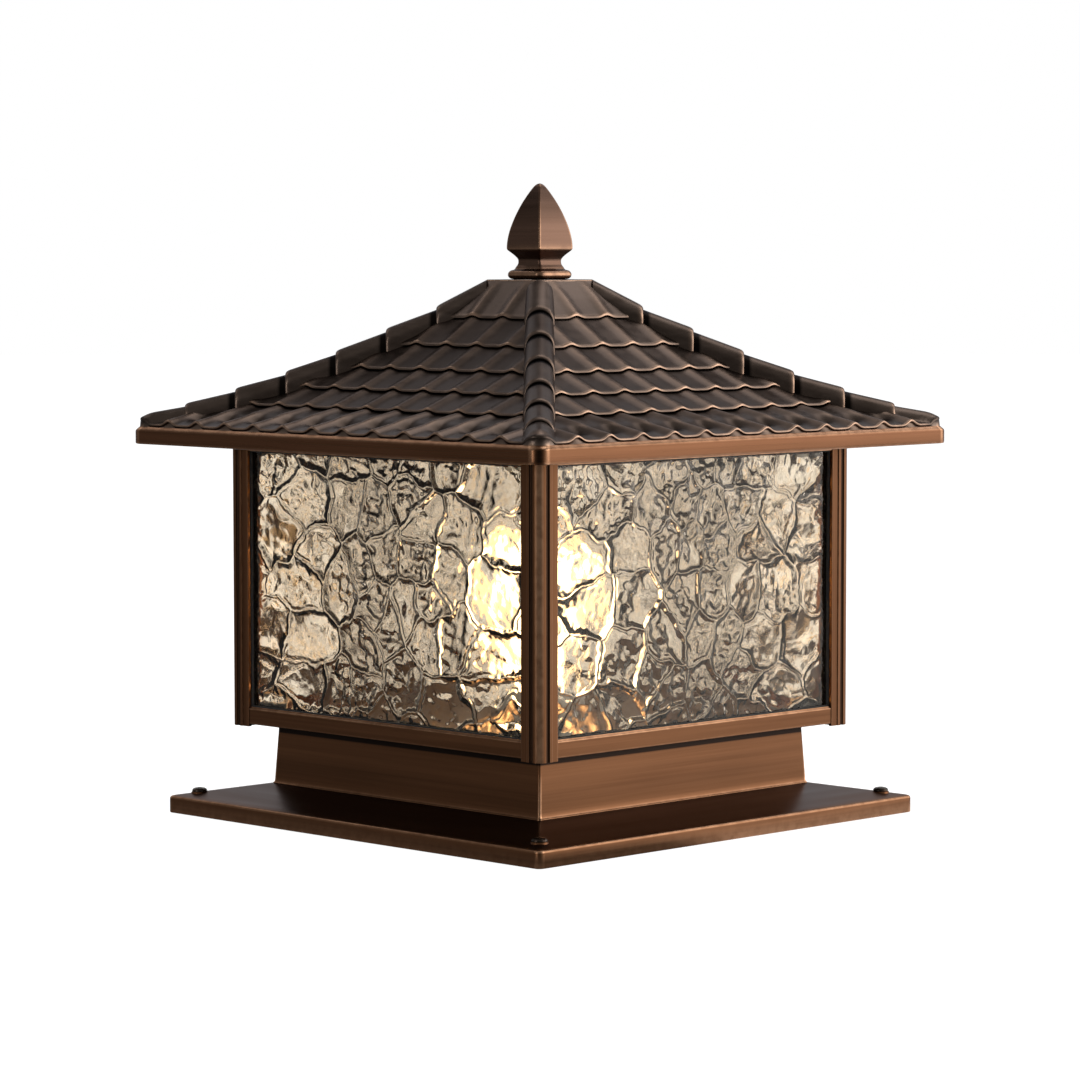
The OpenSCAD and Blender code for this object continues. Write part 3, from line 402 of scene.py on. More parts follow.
def globe_look():
    n = Nodes("globe_glass")
    edge = n.make("LayerWeight", {"Blend": 0.45}).outputs["Facing"]
    tone = n.mix(edge, (1.0, 0.69, 0.35), (1.0, 0.55, 0.23))
    power = n.math("MAXIMUM", n.span(edge, 0.0, 0.3, 14.0, 2.2), n.span(edge, 0.3, 1.0, 2.2, 0.8))
    frost = n.mix(n.span(n.noise(90.0), 0.3, 0.7), (0.92, 0.88, 0.78), (0.98, 0.95, 0.88))
    shader = n.make("BsdfPrincipled", {
        "Base Color": frost, "Roughness": 0.4, "Emission Color": tone, "Emission Strength": power})
    return n.done(shader.outputs[0])


def filament_look():
    n = Nodes("lit_filament")
    tone = n.mix(n.span(n.noise(500.0), 0.3, 0.7), (1.0, 0.7, 0.3), (1.0, 0.85, 0.5))
    shader = n.make("BsdfPrincipled", {
        "Base Color": (0.9, 0.6, 0.3), "Roughness": 0.5, "Emission Color": tone, "Emission Strength": 12.0})
    return n.done(shader.outputs[0])


def earth_look():
    n = Nodes("lead_green")
    place = n.coords((1, 1, 1))
    bands = n.make("TexWave", {"Vector": place, "Scale": 60.0, "Distortion": 1.5}, wave_type="BANDS")
    tone = n.mix(n.span(bands.outputs[1], 0.45, 0.55), (0.1, 0.3, 0.05), (0.6, 0.5, 0.04))
    shader = n.make("BsdfPrincipled", {"Base Color": tone, "Roughness": 0.42})
    return n.done(shader.outputs[0])


looks["ripple_glass"] = glass_look()
looks["globe_glass"] = globe_look()
looks["lit_filament"] = filament_look()
looks["lead_green"] = earth_look()

for row in frame["record"]["subparts"]:
    node = frame["nodes"][row["node"]]
    node.data.materials.clear()
    # The inside pan gets the lighter, painted-lit copy of the bronze.
    look = "bronze_inside_painted_lit" if row["node"] == "floor_pan" else row["material_slot"]
    node.data.materials.append(looks[look])


# Base plate and its screws
def base_plate():
    shape = Shape()
    inner = BASE_HALF - 4
    slope = (Z_FOOT - RIM_H) / (BASE_HALF - FOOT_HALF)
    profile = [
        (BASE_HALF - 0.5, 2.6, 0, 0.3), (BASE_HALF - 0.12, 3, 0.15, 1), (BASE_HALF, 3, 0.5, 0.6),
        (BASE_HALF, 3, RIM_H - 1.4, 0), (BASE_HALF - 0.12, 3, RIM_H - 0.75, 0.7),
        (BASE_HALF - 0.42, 2.8, RIM_H - 0.25, 1), (BASE_HALF - 0.95, 2.4, RIM_H + 0.05, 1),
        # The top is painted darker towards the pedestal foot, nearly black at it: painted shade where plate
        # and pedestal meet. The rim edges are rubbed copper, partly painted highlight.
        (BASE_HALF - 1.9, 2, RIM_H + 1.9 * slope, 0.25), (BASE_HALF - 6, 1.5, RIM_H + 6 * slope, -0.3),
        (FOOT_HALF + 2.5, 0.8, Z_FOOT - 2.5 * slope, -0.55), (FOOT_HALF, 0.6, Z_FOOT, -0.8),
        (40, 0.6, Z_FOOT, 0), (4, 4, Z_FOOT, 0), (4, 4, Z_DECK, 0), (40, 0.6, Z_DECK, 0),
        (FOOT_HALF, 0.6, Z_DECK, 0), (inner, 0.6, RIM_H - 3, 0), (inner, 0.6, 0, 0.2),
    ]
    mask = 0.35 + 0.65 * corner_mask(3, 6)
    wear = [w * mask if w > 0 else w for *_, w in profile]
    shape.loft([ring(s, r, z) for s, r, z, _ in profile], wear, closed=True)
    for x in (-FIX_AT, FIX_AT):
        for y in (-FIX_AT, FIX_AT):
            pad = [(SEAT_R + 0.5, Z_PAD - 2.2, 0), (SEAT_R, Z_PAD - 0.3, 0),
                   (SEAT_R - 0.3, Z_PAD, -0.3), (3, Z_PAD, 0)]
            shape.loft([ring(r, r, z, n_arc=9, centre=(x, y)) for r, z, _ in pad], [w for *_, w in pad])
    shape.piece("base_plate_cast", "root", looks["bronze_base"], ["base_plate"])


def fixing_screws():
    shape = Shape()
    head = [(2.2, 0.0, 0), (3.7, 0.0, 0), (3.95, 0.25, 0.3), (3.9, 0.8, 0.4), (3.5, 1.4, 0.5),
            (2.6, 1.85, 0.4), (1.6, 2.02, 0.3), (1.45, 2.0, 0.1), (1.3, 1.2, 0), (0.4, 1.1, 0)]
    for x in (-FIX_AT, FIX_AT):
        for y in (-FIX_AT, FIX_AT):
            rings = []
            for r, z, _ in head:
                loop = ring(r, r, Z_PAD + z, n_arc=9, centre=(x, y))
                in_recess = 1.2 < r < 1.5
                if in_recess:
                    a = np.arctan2(loop[:, 1] - y, loop[:, 0] - x)
                    cross = 0.62 + 0.38 * np.abs(np.cos(2 * a)) ** 3
                    loop[:, 0] = x + (loop[:, 0] - x) * cross
                    loop[:, 1] = y + (loop[:, 1] - y) * cross
                rings.append(loop)
            shape.loft(rings, [w for *_, w in head])
            shank = [ring(2.3, 2.3, z, n_arc=9, centre=(x, y)) for z in (0.4, Z_PAD)]
            shape.loft(shank)
    shape.piece("fixing_screws", "root", looks["screw_dark"])


# Pedestal and frame
def pedestal():
    shape = Shape()
    profile = [
        (FOOT_HALF - 3, 0.5, Z_FOOT, 0), (FOOT_HALF + 0.75, 1.3, Z_FOOT, 0.2),
        (FOOT_HALF + 0.7, 1.3, Z_FOOT + 0.35, 1), (FOOT_HALF + 0.25, 1.1, Z_FOOT + 0.75, 0.8),
        (FOOT_HALF, 0.9, Z_FOOT + 1.5, 0.1),
        # The upper part under the body is painted nearly black: a painted shadow under the overhang.
        (FOOT_HALF - 0.1, 0.9, Z_FOOT + 3.5, 0), (PED_TOP + 0.3, 0.9, Z_BODY - 6, -0.1),
        (PED_TOP + 0.27, 0.9, Z_BODY - 5.5, -0.25), (PED_TOP + 0.25, 0.9, Z_BODY - 5.0, -0.95),
        (PED_TOP, 0.9, Z_BODY - 0.02, -1), (PED_TOP - 3, 0.5, Z_BODY - 0.02, 0),
    ]
    mask = corner_mask(3, 6)
    wear = []
    for _, _, z, w in profile:
        # The vertical corners and the foot line are rubbed copper, partly painted highlight.
        rubbed_and_painted_light = 0.9 * w * (0.3 + 0.7 * mask) + 0.75 * mask * (z > Z_FOOT + 0.5)
        wear.append(np.clip(w if w < 0 else rubbed_and_painted_light, -1, 1))
    shape.loft([ring(s, r, z) for s, r, z, _ in profile], wear, closed=True)
    shape.piece("pedestal_shell", "root", looks["bronze_base"], ["pedestal"])


def rails():
    lip = 0.8
    low = [(1, Z_BODY), (1, Z_SILL - lip), (1 + 0.75, Z_SILL - lip), (1 + 0.8, Z_SILL), (GROOVE_AT, Z_SILL),
           (GROOVE_AT, Z_PAN), (GROOVE_IN, Z_PAN), (GROOVE_IN, Z_SILL), (GROOVE_BACK, Z_SILL),
           (GROOVE_BACK, Z_PAN), (GROOVE_BACK, Z_BODY)]
    low_soft = [0.6, 0.5, 0.2, 0.25, 0.25, 0, 0, 0.2, 0.2, 0, 0]
    ledge = [(GROOVE_BACK - 1, Z_BODY), (GROOVE_BACK - 1, Z_PAN), (LEDGE_IN, Z_PAN), (LEDGE_IN, Z_BODY)]
    top = [(1, Z_HEAD), (1, Z_FRAME), (GROOVE_BACK, Z_FRAME), (GROOVE_BACK, Z_TOP_RAIL_CUT),
           (GROOVE_IN, Z_TOP_RAIL_CUT), (GROOVE_IN, Z_WEB), (GROOVE_AT, Z_WEB), (GROOVE_AT, Z_HEAD)]
    top_soft = [0.5, 0.3, 0, 0.2, 0.2, 0, 0, 0.3]
    top_ledge = [(GROOVE_BACK - 1, Z_WEB), (GROOVE_BACK - 1, Z_FRAME), (LEDGE_IN, Z_FRAME), (LEDGE_IN, Z_WEB)]
    kinds = (("bottom", low, low_soft, ledge), ("top", top, top_soft, top_ledge))
    for i, side in enumerate(SIDES):
        for kind, outline, radii, extra in kinds:
            shape = Shape()
            line, turn = soften(outline, radii)
            # Outer edges are rubbed copper, partly painted highlight.
            turn = turn * (line[:, 0] < 2.2) * np.where(line[:, 1] < Z_BODY + 2, 0.3, 1.0)
            shape.bar(line, (-RAIL_HALF, RAIL_HALF), side_place(i), 0.55 * turn)
            shape.bar(soften(extra, 0.2)[0], (-LEDGE_HALF, LEDGE_HALF), side_place(i))
            shape.piece(f"{kind}_rail_{side}_bar", "root", looks["bronze_frame"],
                        [f"{kind}_rail_{side}"])


def posts():
    flute = [(FLUTE_AT + FLUTE_R * math.sin(a), FLUTE_R * math.cos(a) - FLUTE_OUT)
             for a in np.radians(np.linspace(-66, 66, 13))]
    nose = [(NOSE_R - NOSE_R * math.sin(a), NOSE_R - NOSE_R * math.cos(a))
            for a in np.radians(np.linspace(45, 0, 11))]
    half = nose + [(x, max(y, 0.0)) for x, y in flute]
    radii = [0] * len(nose) + [0.25] + [0] * 11 + [0.25]
    half += [(9, 0), (9, 0.6), (POST_W, 0.6), (POST_W, GROOVE_AT), (POST_SLOT, GROOVE_AT),
             (POST_SLOT, GROOVE_IN), (POST_W, GROOVE_IN), (POST_W, GROOVE_BACK), (GROOVE_BACK, GROOVE_BACK)]
    radii += [0.35, 0.1, 0.3, 0.3, 0, 0, 0.2, 0.2, 0]
    other = [(y, x) for x, y in half[::-1]][1:-1]
    line, turn = soften(half + other, radii + radii[::-1][1:-1], steps=3)
    u, w = line.T
    on_nose = (np.hypot(u - NOSE_R, w - NOSE_R) < NOSE_R + 0.05) * (line.max(1) < NOSE_R)
    near_flute = np.minimum(np.hypot(u - FLUTE_AT, w + FLUTE_OUT), np.hypot(w - FLUTE_AT, u + FLUTE_OUT))
    # The nose is painted copper down its middle as a painted highlight, and the flutes are painted nearly
    # black as painted shade.
    edge = 0.12 * turn * (line.min(1) < 2)
    edge = np.maximum(edge, 0.8 * on_nose * np.clip(1.25 - abs(u - w) / 2.6, 0, 1))
    edge = np.where(near_flute < FLUTE_R + 0.05, -0.8, edge)
    for i, corner in enumerate(CORNERS):
        shape = Shape()
        shape.bar(line, (Z_BODY - 1.2, Z_FRAME), corner_place(i), edge)
        shape.piece(f"corner_post_{corner}_bar", "root", looks["bronze_post"],
                    [f"corner_post_{corner}"])


# Glass
def cell_relief(x, z):
    """Height of the cast relief in mm: pillows of several sizes between narrow furrows."""
    wx = x * (1.3 - 0.004 * abs(x)) + 0.9 * ripple(x, z, 19, 14) + 0.16 * ripple(x, z, 4.5, 14)
    wz = z + 0.9 * ripple(x, z, 19, 14) + 0.16 * ripple(x, z, 4.5, 14)
    shift_x, shift_z, row_step = 0.36, 0.34, 0.84
    seeds = []
    for row in range(-1, 8):
        for col in range(-6, 7):
            seeds.append(((col + 0.5 * (row % 2)) * CELL + rng.uniform(-shift_x, shift_x) * CELL,
                          PANE_LOW + row * CELL * row_step + rng.uniform(-shift_z, shift_z) * CELL))
    seeds = np.array(seeds)
    first = np.full(x.shape, 1e9)
    second = np.full(x.shape, 1e9)
    who = np.zeros(x.shape, int)
    runner = np.zeros(x.shape, int)
    for i, (sx, sz) in enumerate(seeds):
        d = (wx - sx) ** 2 + (wz - sz) ** 2
        near, mid = d < first, (d >= first) & (d < second)
        second = np.where(near, first, np.where(mid, d, second))
        runner = np.where(near, who, np.where(mid, i, runner))
        first = np.where(near, d, first)
        who = np.where(near, i, who)
    gap = np.hypot(*(seeds[who] - seeds[runner]).transpose(2, 0, 1))
    border = (second - first) / (2 * np.maximum(gap, 1))
    tilt = rng.uniform(-0.15, 0.15, (len(seeds), 2))
    seed_x, seed_z = seeds.T
    busy_half, high_from, high_run, low_from, low_run = 46, 160, 25, 78, 20
    busy = 0.1 + 1.9 * np.exp(-(seed_x / busy_half) ** 2)
    busy += 0.6 * np.clip((seed_z - high_from) / high_run, 0, 1)
    busy += 0.3 * np.clip((low_from - seed_z) / low_run, 0, 1)
    calm = rng.uniform(0.3, 1.2, len(seeds)) * busy
    inside = np.clip((border - 0.5) / 3.0, 0, 1)
    inside = inside * inside * (3 - 2 * inside)
    lean = tilt[who, 0] * (wx - seed_x[who]) + tilt[who, 1] * (wz - seed_z[who])
    furrow = 0.85 * (0.4 + 0.6 * np.exp(-(x / 60) ** 2))
    height = furrow * (1 - np.exp(-(border / 0.8) ** 2)) + 0.75 * (1 - np.exp(-border / 4.5))
    wrinkle = 0.3 * ripple(x, z, 9.0, 22) + 0.05 * ripple(x, z, 4.0, 22)
    wrinkle += 0.3 * abs(ripple(x, z, 13, 22)) - 0.07 * abs(ripple(x, z, 6.5, 22))
    grain = np.clip((abs(x) - (RAIL_HALF - 4.5)) / 2.5, 0, 1)
    height += inside * (lean + calm[who] * wrinkle) + grain * 0.22 * ripple(x, z, 3.0, 22)
    return height + RELIEF_LOW


def sheet(shape, inward, x, z, place, flip):
    """Adds a grid of points as a smooth sheet."""
    index = np.arange(x.size).reshape(x.shape)
    quad = [index[:-1, :-1], index[:-1, 1:], index[1:, 1:], index[1:, :-1]]
    faces = np.stack(quad[::-1] if flip else quad, -1).reshape(-1, 4)
    shape.add(place(inward.ravel(), z.ravel(), x.ravel()), [tuple(f) for f in faces.tolist()])


def pane_grid(step):
    """Points of a pane, and a factor that falls to 0 at its rim."""
    n_along, n_up = round(2 * PANE_HALF / step), round((PANE_TOP - PANE_LOW) / step)
    x, z = np.meshgrid(np.linspace(-PANE_HALF, PANE_HALF, n_along + 1),
                       np.linspace(PANE_LOW, PANE_TOP, n_up + 1))
    edge = np.minimum(np.minimum(PANE_HALF - abs(x), z - PANE_LOW), PANE_TOP - z)
    return x, z, np.clip(edge / 1.5, 0, 1)


def panes():
    """Panes with the relief inside and a gentle wave outside; their rims lie in the gaskets."""
    step = FINE_STEP
    for i, side in enumerate(SIDES):
        shape = Shape()
        x, z, hold = pane_grid(COARSE_STEP)
        wavy = 0.1 * ripple(x, z, 21, 16) + 0.02 * ripple(x, z, 6, 20)
        sheet(shape, PANE_OUT + hold * np.clip(0.25 - wavy, 0, 0.6), x, z, side_place(i), False)
        x, z, hold = pane_grid(step)
        relief = np.clip(cell_relief(x, z), RELIEF_LOW, RELIEF_HIGH)
        sheet(shape, PANE_IN - hold * (RELIEF_DEPTH - RELIEF_GAIN * relief), x, z, side_place(i), True)
        obj = shape.piece(f"ripple_pane_{side}", "root", looks["ripple_glass"],
                          [f"glass_pane_{side}"], smooth=180, fix_normals=False)
        obj.visible_shadow = False


# Roof
def lip_s(k):
    return PLATEAU_HALF + k * COURSE_RUN


def lip_z(k):
    return Z_PLATEAU - sum(COURSE_FALL[:k])


def hip_z(k):
    return Z_PLATEAU - sum(HIP_FALL[:k])


def crest(t):
    return ((1 - np.cos(2 * math.pi * t / TILE_PITCH)) / 2) ** 3.0


def wave(t, rise=1.45):
    return rise * (crest(t) - 0.28)


def along(x, y):
    return np.where(abs(y) >= abs(x), x, y)


def soft_max(a, b, k):
    h = np.clip(0.5 + 0.5 * (a - b) / k, 0, 1)
    return b + (a - b) * h + k * h * (1 - h)


def course_top(k, s, t):
    s_up = lip_s(k - 1)
    z_up = lip_z(k - 1) - (0 if k == 1 else LIP_STEP)
    slope = (z_up - lip_z(k)) / COURSE_RUN
    fade = np.clip((s - s_up) / 7, 0, 1) if k == 1 else 1.0
    return lip_z(k) + (lip_s(k) - s) * slope + fade * wave(t)


def eave_top(x, y):
    """The two lowest courses, which run into each other, with the hip's last cap flowing into the corner."""
    s = np.maximum(abs(x), abs(y))
    t = along(x, y)
    s5, s6, s7 = lip_s(5), lip_s(6), lip_s(7)
    z5, z6, z7 = lip_z(5), lip_z(6), lip_z(7)
    flat = np.interp(s, [s5 - 6, s5, s6 - 2, s6 + 4, s7], [z5 - 0.9, z5 - 2, z6 + 0.2, z6 - 1.7, z7])
    channel = (1 - crest(t)) ** 2
    rise = np.interp(s, [s5, s7], [1.9, EAVE_RISE])
    tiles = flat + wave(t, rise) - 2.3 * channel * np.exp(-((s - s6 - 2.5) / 4.6) ** 2)
    h = (abs(x) + abs(y)) / 2
    d = abs(abs(x) - abs(y)) / math.sqrt(2)
    top = np.interp(h, [s6 - 4, s6, s7 - 3.2], [hip_z(6) - 0.3, hip_z(6) - 1.7, hip_z(7)])
    nose_from, nose_run = 141.1, 6.9
    nose = np.clip((h - nose_from) / nose_run, 0, 1)
    top = Z_FASCIA_TOP + (top - Z_FASCIA_TOP) * np.sqrt(1 - nose ** 2)
    r = HIP_R - 0.3
    cap = top - (r - np.sqrt(np.maximum(r * r - d * d, 0))) - np.maximum(d - r, 0) * 3
    return soft_max(tiles, cap, 2.6)


def roof_courses(shape):
    """The upper five courses of tiles, each with its rounded lip."""
    for k in range(1, 6):
        s_out = lip_s(k)
        s_in = lip_s(k - 1) - (0.2 if k == 1 else 3.0)
        n_side = int(2 * s_out / TILE_STEP)
        rings, wear = [], []

        def put(s, drop, w):
            loop = ring(s, 0.15, 0, n_side, 2)
            t = along(loop[:, 0], loop[:, 1])
            loop[:, 2] = course_top(k, s, t) + drop
            rings.append(loop)
            ridge = crest(t)
            # Lips are rubbed copper on the ridges, partly painted highlight. Elsewhere the ridge crests are
            # painted lighter as painted highlight, and the channels darker as patina and painted shade.
            rubbed_and_painted_light = w * (0.08 + 0.92 * ridge ** 0.7)
            crest_highlight_channel_dark = 0.24 * ridge ** 2 - 0.12 * (1 - ridge) ** 4
            wear.append(rubbed_and_painted_light if w else crest_highlight_channel_dark)
        for s in np.linspace(s_in, s_out - 1.6, 9):
            put(s, 0, 0.0)
        for ds, drop, w in ((1.1, 0, 0.12), (0.65, -0.03, 0.45), (0.25, -0.16, 0.9), (0.0, -0.5, 1.0),
                            (0.02, -0.95, 0.75), (0.3, -1.22, 0.2)):
            put(s_out - ds, drop, w)
        for s in np.linspace(s_out - 1.2, s_in, 4):
            put(s, -1.3, 0)
        shape.loft(rings, wear, closed=True)


def roof_hips(shape):
    """Six half-round caps on each hip. The hip between the right and the back carries the strongest painted
    highlights on its cap ends; the start of each lower cap and the underside of each cap end are painted
    nearly black as painted shadow.
    """
    for k in range(1, 7):
        h0, h1 = lip_s(k - 1), lip_s(k)
        z0 = hip_z(k - 1) - (0 if k == 1 else 1.9)
        z1 = hip_z(k)
        start = h0 if k == 1 else h0 - 1.6
        r0, r1 = HIP_R - 0.7, HIP_R + 0.15
        stations = [(u, 0.0, 0.0) for u in np.linspace(h0 + 3.0, h1 - 2.4, 6)]
        if k > 1:
            stations = [(start, 0, -1), (h0 + 1.7, 0, -1), (h0 + 2.5, 0, -0.3)] + stations
        else:
            stations = [(start, 0, 0)] + stations
        stations += [(h1 - 1.5, 0.02, 0.1), (h1 - 0.9, 0.12, 0.3), (h1 - 0.4, 0.36, 0.45),
                     (h1 - 0.1, 0.75, 0.2), (h1, 1.15, -0.9), (h1, 1.5, -1), (h1 - 1.5, 1.6, -1)]
        rings, wear = [], []
        for h, cut, w in stations:
            share = (h - start) / (h1 - start)
            top = z0 + (z1 - z0) * (h - h0) / (h1 - h0) - cut
            r = r0 + (r1 - r0) * share - cut
            a = np.radians(np.linspace(-90, 90, 25))
            u = np.concatenate([[-r], r * np.sin(a), [r]])
            z = np.concatenate([[top - r - 5], top - r + r * np.cos(a), [top - r - 5]])
            rings.append(np.column_stack([h + u / math.sqrt(2), -h + u / math.sqrt(2), z]))
            wear.append(np.full(len(u), w))
        for turn in range(4):
            # The hip between the right and the back gets much more copper: painted highlight.
            turned, hip_wear_and_highlight_gain = [], 1.7 if turn == 1 else 0.35
            for loop in rings:
                x, y = loop[:, 0], loop[:, 1]
                for _ in range(turn):
                    x, y = -y, x
                turned.append(np.column_stack([x, y, loop[:, 2]]))
            shape.loft(turned, [np.where(w > 0, w * hip_wear_and_highlight_gain, w) for w in wear])


def roof():
    shape = Shape()
    roof_courses(shape)
    roof_hips(shape)
    n_side, n_arc = 270, 10
    rings, wear = [], []
    edge = corner_mask(n_side, n_arc)

    def near_corner(loop):
        d = abs(abs(loop[:, 0]) - abs(loop[:, 1])) / math.sqrt(2)
        return np.clip((d - 5) / 7, 0, 1)

    def flat(s, r, z, w):
        loop = ring(s, r, z, n_side, n_arc)
        rings.append(loop)
        # Each fascia corner is painted lighter on its flanks as painted highlight, with a painted dark
        # reflection band down its middle.
        middle = np.exp(-((abs(loop[:, 0]) - abs(loop[:, 1])) / 3.2) ** 2) * (s > FASCIA_IN)
        wear.append(np.clip(w * (0.4 + 0.6 * edge) + 0.3 * edge - 1.1 * middle, -1, 1))

    def skin(s, r, drop, w, inset=0):
        loop = ring(s, r, 0, n_side, n_arc)
        fade = near_corner(loop)
        if inset:
            pull = ring(s - inset, r, 0, n_side, n_arc)
            loop[:, :2] += (pull[:, :2] - loop[:, :2]) * fade[:, None]
        loop[:, 2] = eave_top(*ring(s, r, 0, n_side, n_arc)[:, :2].T) + drop
        rings.append(loop)
        ridge = crest(along(loop[:, 0], loop[:, 1]))
        # Near the corners the eave skin is painted darker, carrying on the painted dark band of the fascia
        # corner.
        wear.append(w * (0.5 + 0.5 * ridge) * (0.3 + 0.7 * fade) - 0.7 * (1 - fade) * (s > FASCIA_IN))
    flat(FASCIA_IN, 4, Z_SOFFIT, 0)
    flat(FASCIA_IN, 4, Z_FASCIA, 0.1)
    for back, up, w in ((0.7, 0, 0.3), (0.2, 0.2, 0.8), (0, 0.6, 0.5), (0, 1.4, 0)):
        flat(ROOF_HALF - back, CORNER_R, Z_FASCIA + up, w)
    # The bevel under the eave and the eave lip are rubbed copper, partly painted highlight.
    for back, up, w in ((0, 0, 0), (0.1, 0.5, 0.3), (0.5, 1.1, 0.9), (1.1, 1.8, 1.0), (1.65, 2.4, 0.5)):
        flat(ROOF_HALF - back, CORNER_R, Z_FASCIA_TOP + up, w)
    for back, drop, w, inset in ((1.9, -1.25, 0.1, 1.0), (1.85, -1.15, 0.5, 0.3), (1.8, -0.85, 0.9, 0),
                                 (1.8, -0.45, 1.0, 0), (1.95, -0.12, 0.8, 0), (2.4, 0, 0.3, 0)):
        skin(ROOF_HALF - back, CORNER_R, drop, w, inset)
    lip = ROOF_HALF - 2.4
    for s in np.linspace(lip - 1, lip_s(5) - 3, 24):
        skin(s, max(2.6, CORNER_R - (lip - s)), 0, 0)
        # Ridge crests are painted lighter as painted highlight; the channels are painted darker as painted
        # shade, and the dimples above the eave darkest.
        ridge = crest(along(rings[-1][:, 0], rings[-1][:, 1]))
        dimple_shade = math.exp(-((s - lip_s(6) - 3.0) / 5.0) ** 2)
        wear[-1] = 0.25 * ridge ** 2 - (0.15 + 0.85 * dimple_shade) * (1 - ridge) ** 3 * near_corner(rings[-1])
    under = LIP_STEP + 1.6
    flat(lip_s(5) - 3.5, 0.3, lip_z(5) - 5.5, 0)
    for k in (4, 3, 2, 1):
        flat(lip_s(k), 0.3, lip_z(k) - 1.2 - under, 0)
    flat(PLATEAU_HALF - 1.5, 0.3, Z_PLATEAU - 2.5, 0)
    flat(BORE_R, BORE_R, Z_PLATEAU - 2.5, 0)
    flat(BORE_R, BORE_R, Z_PLATEAU - 5, 0)
    flat(PLATEAU_HALF - 1, 0.3, Z_PLATEAU - 5, 0)
    for k in range(1, 7):
        flat(lip_s(k), 0.3, lip_z(k) - 6.8, 0)
    flat(lip_s(7) - 4, 0.3, Z_SOFFIT + 2.5, 0)
    flat(SOFFIT_HALF, 0.3, Z_SOFFIT + 2.5, 0)
    flat(SOFFIT_HALF, 0.3, Z_SOFFIT, 0.2)
    shape.loft(rings, wear, closed=True)
    slab = [(BORE_R, BORE_R, Z_PLATEAU - 4, 0), (19.9, 0.7, Z_PLATEAU - 4, 0),
            (19.98, 0.8, Z_PLATEAU - 0.55, 0.4), (19.8, 0.8, Z_PLATEAU - 0.15, 1),
            (PLATEAU_HALF, 0.8, Z_PLATEAU, 0.7), (18.6, 0.8, Z_PLATEAU - 0.02, 0),
            (BORE_R, BORE_R, Z_PLATEAU - 0.02, 0)]
    shape.loft([ring(s, r, z) for s, r, z, _ in slab], [w for *_, w in slab], closed=True)
    obj = shape.piece("roof_tiles", "roof", looks["bronze_roof"], ["roof_shell"], smooth=50)
    obj.data.materials.append(looks["bronze_fascia"])
    centres = np.zeros(len(obj.data.polygons) * 3)
    obj.data.polygons.foreach_get("center", centres)
    x, y, z = centres.reshape(-1, 3).T / MM
    band = (z < Z_TILES) & (np.maximum(abs(x), abs(y)) > FASCIA_IN - 0.1)
    obj.data.polygons.foreach_set("material_index", band.astype(np.int32))


# Finial
def finial():
    shape = Shape()
    curve = [
        (10.4, 4, Z_FINIAL, 0), (11.6, 4, 277.45, 0.1), (12.5, 4, 278.3, 0.5), (12.8, 4, 279.5, 0.9),
        (12.5, 3.8, 280.7, 0.6), (11.6, 3.4, 281.7, 0.1), (10.4, 2.8, 282.1, 0), (9.7, 2.2, 282.6, 0.3),
        (9.2, 1.8, 283.5, 0.2), (8.4, 1.4, 284.8, 0), (8.1, 1.1, 286.2, 0), (8.25, 1, 287.6, 0),
        (9.2, 0.9, 289.2, 0), (10.7, 0.8, 290.9, 0), (11.7, 0.7, 292.0, 0.2), (12.08, 0.6, 292.7, 0.8),
        (12.15, 0.5, 293.4, 0.4), (12.1, 0.5, 295.2, 0.05), (11.8, 0.5, 298.2, 0), (11.2, 0.5, 301.8, 0),
        (10.1, 0.5, 306.2, 0), (8.6, 0.5, 311, 0), (6.7, 0.5, 316, 0), (4.7, 0.6, 320.4, 0),
        (3.1, 0.8, 323.6, 0.1), (2.0, 0.9, 325.4, 0.3), (1.1, 0.8, 326.2, 0.5), (0.3, 0.3, Z_TIP, 0.5),
    ]
    profile = catmull(curve, 3)
    profile[:, 2] = np.clip(np.maximum.accumulate(profile[:, 2]), Z_FINIAL, Z_TIP)
    mask = corner_mask(3, 6)
    spear_from, dark_from, dark_run = 293, 303, 18
    bore_top, seal_top, seal_r = 295, 279, 9.3
    rings = [ring(STUD_R, STUD_R, bore_top), ring(STUD_R, STUD_R, seal_top),
             ring(seal_r, seal_r, seal_top), ring(seal_r, seal_r, Z_FINIAL)]
    wear = [0, 0, 0, 0]
    for s, r, z, w in profile:
        rings.append(ring(s, r, z))
        # The spear is painted darker towards its tip as painted shade; its corners and beads are rubbed
        # copper, partly painted highlight.
        tip_shade = np.clip((z - dark_from) / dark_run, 0, 1)
        wear.append(np.clip(w * 0.45 + 0.4 * mask * (z > spear_from) - 0.4 * tip_shade, -1, 1))
    shape.loft(rings, wear)
    shape.piece("finial_spear", "finial", looks["bronze_finial"], ["finial"], smooth=40)


base_plate()
fixing_screws()
pedestal()
rails()
posts()
panes()
roof()
finial()


# Camera, floor and lights
FRAME_PX, FOCAL_PX, SENSOR = 1080.0, 3986.0, 36.0
EYE_RIGHT, EYE_BACK, EYE_UP = 0.004, 2.063, 0.2933
AIM_AT = Vector((0, 0, 0.15))
FLOOR_R, FLOOR_Z, FLOOR_SIDES = 9, -0.0003, 96
AWAY, RIGHT = (-math.sqrt(0.5), math.sqrt(0.5), 0), (math.sqrt(0.5), math.sqrt(0.5), 0)
STRIP = (-0.087, -0.996, 0)


